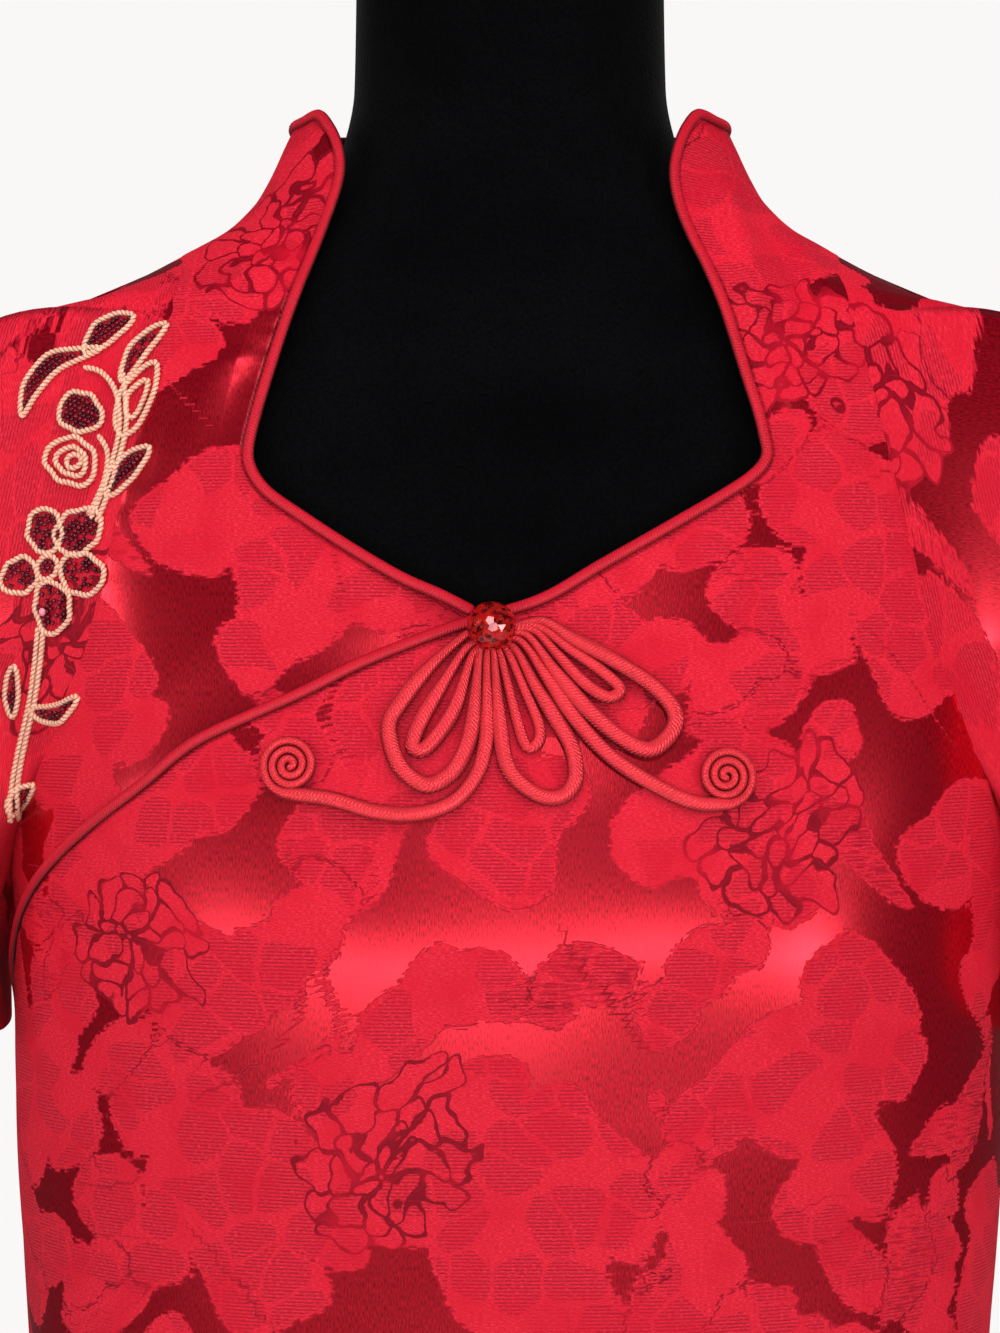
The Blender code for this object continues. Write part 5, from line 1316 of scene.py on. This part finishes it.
gold, gold_tree, gold_shader = new_finish("twisted_gold_cord")
gold_mm = add_node(gold_tree, "ShaderNodeVectorMath", {0: add_node(gold_tree, "ShaderNodeUVMap",
                                                                   uv_map="cloth").outputs[0], 3: 1000.0},
                   operation="SCALE").outputs[0]
gold_parts = add_node(gold_tree, "ShaderNodeSeparateXYZ", {0: gold_mm})
gold_ply = sums(gold_tree, "SUBTRACT", sums(gold_tree, "MULTIPLY", gold_parts.outputs[0],
                                            2 / (CORD_RADIUS * 1000)),
                sums(gold_tree, "MULTIPLY", gold_parts.outputs[1], 2 * math.pi / (CORD_TWIST * 1000)))
# Painted shade in the groove between the two plies of the cord.
gold_groove_shade = ramp(gold_tree, sums(gold_tree, "COSINE", gold_ply), -0.15, -1.0)
gold_fibre = sums(gold_tree, "SINE", sums(gold_tree, "MULTIPLY", gold_ply, 5.0))
gold_mood = add_node(gold_tree, "ShaderNodeTexNoise", {"Vector": gold_mm, "Scale": 0.5, "Detail": 2.0})
gold_tone = blend_colours(gold_tree, ramp(gold_tree, gold_mood.outputs[0], 0.3, 0.7), (0.95, 0.50, 0.34),
                          (1.0, 0.73, 0.52))
# Painted shade: the ply groove is darkened.
gold_tone = blend_colours(gold_tree, gold_groove_shade, gold_tone, (0.66, 0.16, 0.13))
gold_tone = blend_colours(gold_tree, ramp(gold_tree, gold_fibre, 0.4, 1.6), gold_tone, (0.62, 0.26, 0.16))
gold_tree.links.new(gold_tone, gold_shader.inputs["Base Color"])
gold_shader.inputs["Metallic"].default_value = 0.25
gold_shader.inputs["Roughness"].default_value = 0.42
gold_bump = add_node(gold_tree, "ShaderNodeBump", {"Height": gold_fibre, "Strength": 0.5, "Distance": 0.00008})
gold_tree.links.new(gold_bump.outputs[0], gold_shader.inputs["Normal"])

seed_glass, seed_tree, seed_shader = new_finish("dark_seed_bead_glass")
seed_tone = add_node(seed_tree, "ShaderNodeAttribute", attribute_name="bead_tone")
seed_dark = blend_colours(seed_tree, ramp(seed_tree, seed_tone.outputs["Fac"], 0.0, 1.0), (0.045, 0.001, 0.005),
                          (0.17, 0.004, 0.016))
seed_tree.links.new(blend_colours(seed_tree, ramp(seed_tree, seed_tone.outputs["Fac"], 1.2, 1.6), seed_dark,
                                  (0.86, 0.26, 0.34)), seed_shader.inputs["Base Color"])
seed_shader.inputs["Roughness"].default_value = 0.16
seed_shader.inputs["Coat Weight"].default_value = 0.25
seed_shader.inputs["Coat Roughness"].default_value = 0.08

sewn_on = [(piece.data, [vert.co.copy() for vert in piece.data.vertices]) for piece in (underlap, right_sleeve)]
shoulder_tree = BVHTree.FromPolygons(
    [spot for _, spots in sewn_on for spot in spots],
    [[index + shift for index in face.vertices] for (mesh, _), shift in zip(sewn_on, (0, len(sewn_on[0][1])))
     for face in mesh.polygons])


def on_shoulder(chart):
    """Where points of the embroidery's chart, in millimetres, fall on the shoulder, with the cloth's outward side."""
    spots, outward = [], []
    for x, y in chart:
        hit, normal, _, _ = shoulder_tree.ray_cast(
            Vector((SPRAY_MIDDLE[0] + x / 1000, -0.4, SPRAY_MIDDLE[1] + y / 1000)), Vector((0.0, 1.0, 0.0)))
        if hit is not None:
            spots.append(hit)
            outward.append(normal if normal.y < 0 else -normal)
    return np.array(spots), np.array(outward)


def evened(values, rounds=6):
    for _ in range(rounds):
        padded = np.vstack((values[:1], values, values[-1:]))
        values = (padded[:-2] + 2 * values + padded[2:]) / 4
    return values


def placed_at(flat, x, y, angle):
    """Points of an ornament's own chart, turned and moved to its place in the spray."""
    turn = math.radians(angle)
    return np.stack((x + flat[:, 0] * math.cos(turn) - flat[:, 1] * math.sin(turn),
                     y + flat[:, 0] * math.sin(turn) + flat[:, 1] * math.cos(turn)), axis=1)


def ornament_outline(x, y, angle, length, width, bend, shrink=1.0):
    t = np.linspace(0.0, 1.0, 13)
    blunt = 0.46 if width > 0.7 * length else 0.62
    half = width / 2 * np.sin(math.pi * t ** 0.9) ** blunt * shrink
    along = (t - 0.5) * length * shrink
    middle = bend * np.sin(math.pi * t)
    flat = np.concatenate((np.stack((along, middle + half), axis=1),
                           np.stack((along, middle - half), axis=1)[::-1][1:-1]))
    wobble = 1.0 + (0.03 if width < 0.7 * length else 0.06) * np.sin(np.arange(len(flat)) * 1.3 + x)[:, None]
    return placed_at(flat * wobble, x, y, angle)


def closed_run(outline, spacing):
    padded = np.vstack((outline[-3:], outline, outline[:4]))
    run = smooth_run(padded, spacing)
    start = np.argmin(np.hypot(*(run[:len(run) // 2] - outline[0]).T))
    end = len(run) // 2 + np.argmin(np.hypot(*(run[len(run) // 2:] - outline[0]).T))
    return run[start:end + 1]


def inside(points, outline):
    found = np.zeros(len(points), dtype=bool)
    for (x0, y0), (x1, y1) in zip(outline, np.roll(outline, -1, axis=0)):
        crosses = (points[:, 1] < y0) != (points[:, 1] < y1)
        at = x0 + (points[:, 1] - y0) * (x1 - x0) / (y1 - y0 if y1 != y0 else 1.0)
        found ^= crosses & (points[:, 0] < at)
    return found


def couched(chart):
    """One length of cord on the cloth."""
    spots, outward = on_shoulder(chart)
    spots, outward = evened(spots), unit(evened(outward, 12))
    return swept("cord", spots + outward * CORD_RADIUS * 0.75, outward, CORD_RADIUS, CORD_RADIUS, gold, sides=10,
                 ridges=lambda angle, length: 1.0 + 0.17 * np.cos(2 * angle - 2 * math.pi * length / CORD_TWIST))


cords, seed_spots = [], []
for number, (x, y, angle, length, width, bend, filled, inner) in enumerate(ORNAMENTS):
    outline = closed_run(ornament_outline(x, y, angle, length, width, bend), 0.42)
    cords.append(couched(outline))
    if inner:
        cords.append(couched(closed_run(ornament_outline(x, y, angle, length, width, bend, inner), 0.42)))
    if filled:
        rows, columns = np.mgrid[-14:15, -14:15]
        lattice = np.stack(((columns + (rows % 2) / 2) * SEED_STEP, rows * SEED_STEP * 0.87),
                           axis=-1).reshape(-1, 2)
        lattice = placed_at(lattice, x, y, angle)
        lattice = lattice + 0.16 * np.sin(lattice[:, ::-1] * 5.3 + number)
        clear = np.min(np.linalg.norm(lattice[:, None] - outline[None], axis=2), axis=1)
        keep = inside(lattice, outline) & (clear > SEED_CLEARANCE)
        keep &= (np.sin(lattice[:, 0] * 7.1 + lattice[:, 1] * 11.7) * 0.5 + 0.5) < filled ** 0.8 + 0.001
        seed_spots.append(lattice[keep])
for points in STEM_CORDS:
    cords.append(couched(smooth_run(points, 0.42)))

cord_shape = bmesh.new()
for cord in cords:
    cord_shape.from_mesh(cord.data)
    old_mesh = cord.data
    bpy.data.objects.remove(cord)
    bpy.data.meshes.remove(old_mesh)
cord_mesh = bpy.data.meshes.new("couched_gold_cord")
cord_shape.to_mesh(cord_mesh)
cord_shape.free()
gold_cord = place_object("couched_gold_cord", cord_mesh, gold)
belongs(gold_cord, "red_silk_jacquard")

seed_shape = bmesh.new()
bmesh.ops.create_uvsphere(seed_shape, u_segments=8, v_segments=5, radius=SEED_RADIUS)
bmesh.ops.scale(seed_shape, verts=seed_shape.verts, vec=(1.0, 1.0, 0.80))
one_seed = bpy.data.meshes.new("one_seed")
seed_shape.to_mesh(one_seed)
seed_shape.free()
one_seed.attributes.new("bead_tone", "FLOAT", "POINT")
all_seeds = bmesh.new()
seed_points, seed_outward = on_shoulder(np.vstack(seed_spots + [np.array((PINK_BEAD,))]))
for number, (spot, outward) in enumerate(zip(seed_points, seed_outward)):
    pink = number == len(seed_points) - 1
    bead_tone = 2.0 if pink else 0.5 + 0.5 * math.sin(12.9898 * number)
    one_seed.attributes["bead_tone"].data.foreach_set(
        "value", np.full(len(one_seed.vertices), bead_tone, dtype=np.float32))
    lean = Vector((math.sin(3.1 * number), 0.2, math.cos(3.1 * number))).to_track_quat("Z", "Y").to_matrix().to_4x4()
    size = 1.7 if pink else 1.0
    placed = Matrix.Translation(Vector(spot) + Vector(outward) * SEED_RADIUS * 0.8 * size) @ lean @ Matrix.Scale(size, 4)
    one_seed.transform(placed)
    all_seeds.from_mesh(one_seed)
    one_seed.transform(placed.inverted())
bpy.data.meshes.remove(one_seed)
seed_mesh = bpy.data.meshes.new("seed_beads")
all_seeds.to_mesh(seed_mesh)
all_seeds.free()
seed_mesh.shade_smooth()
seeds = place_object("seed_beads", seed_mesh, seed_glass)
belongs(seeds, "red_crystal_bead")
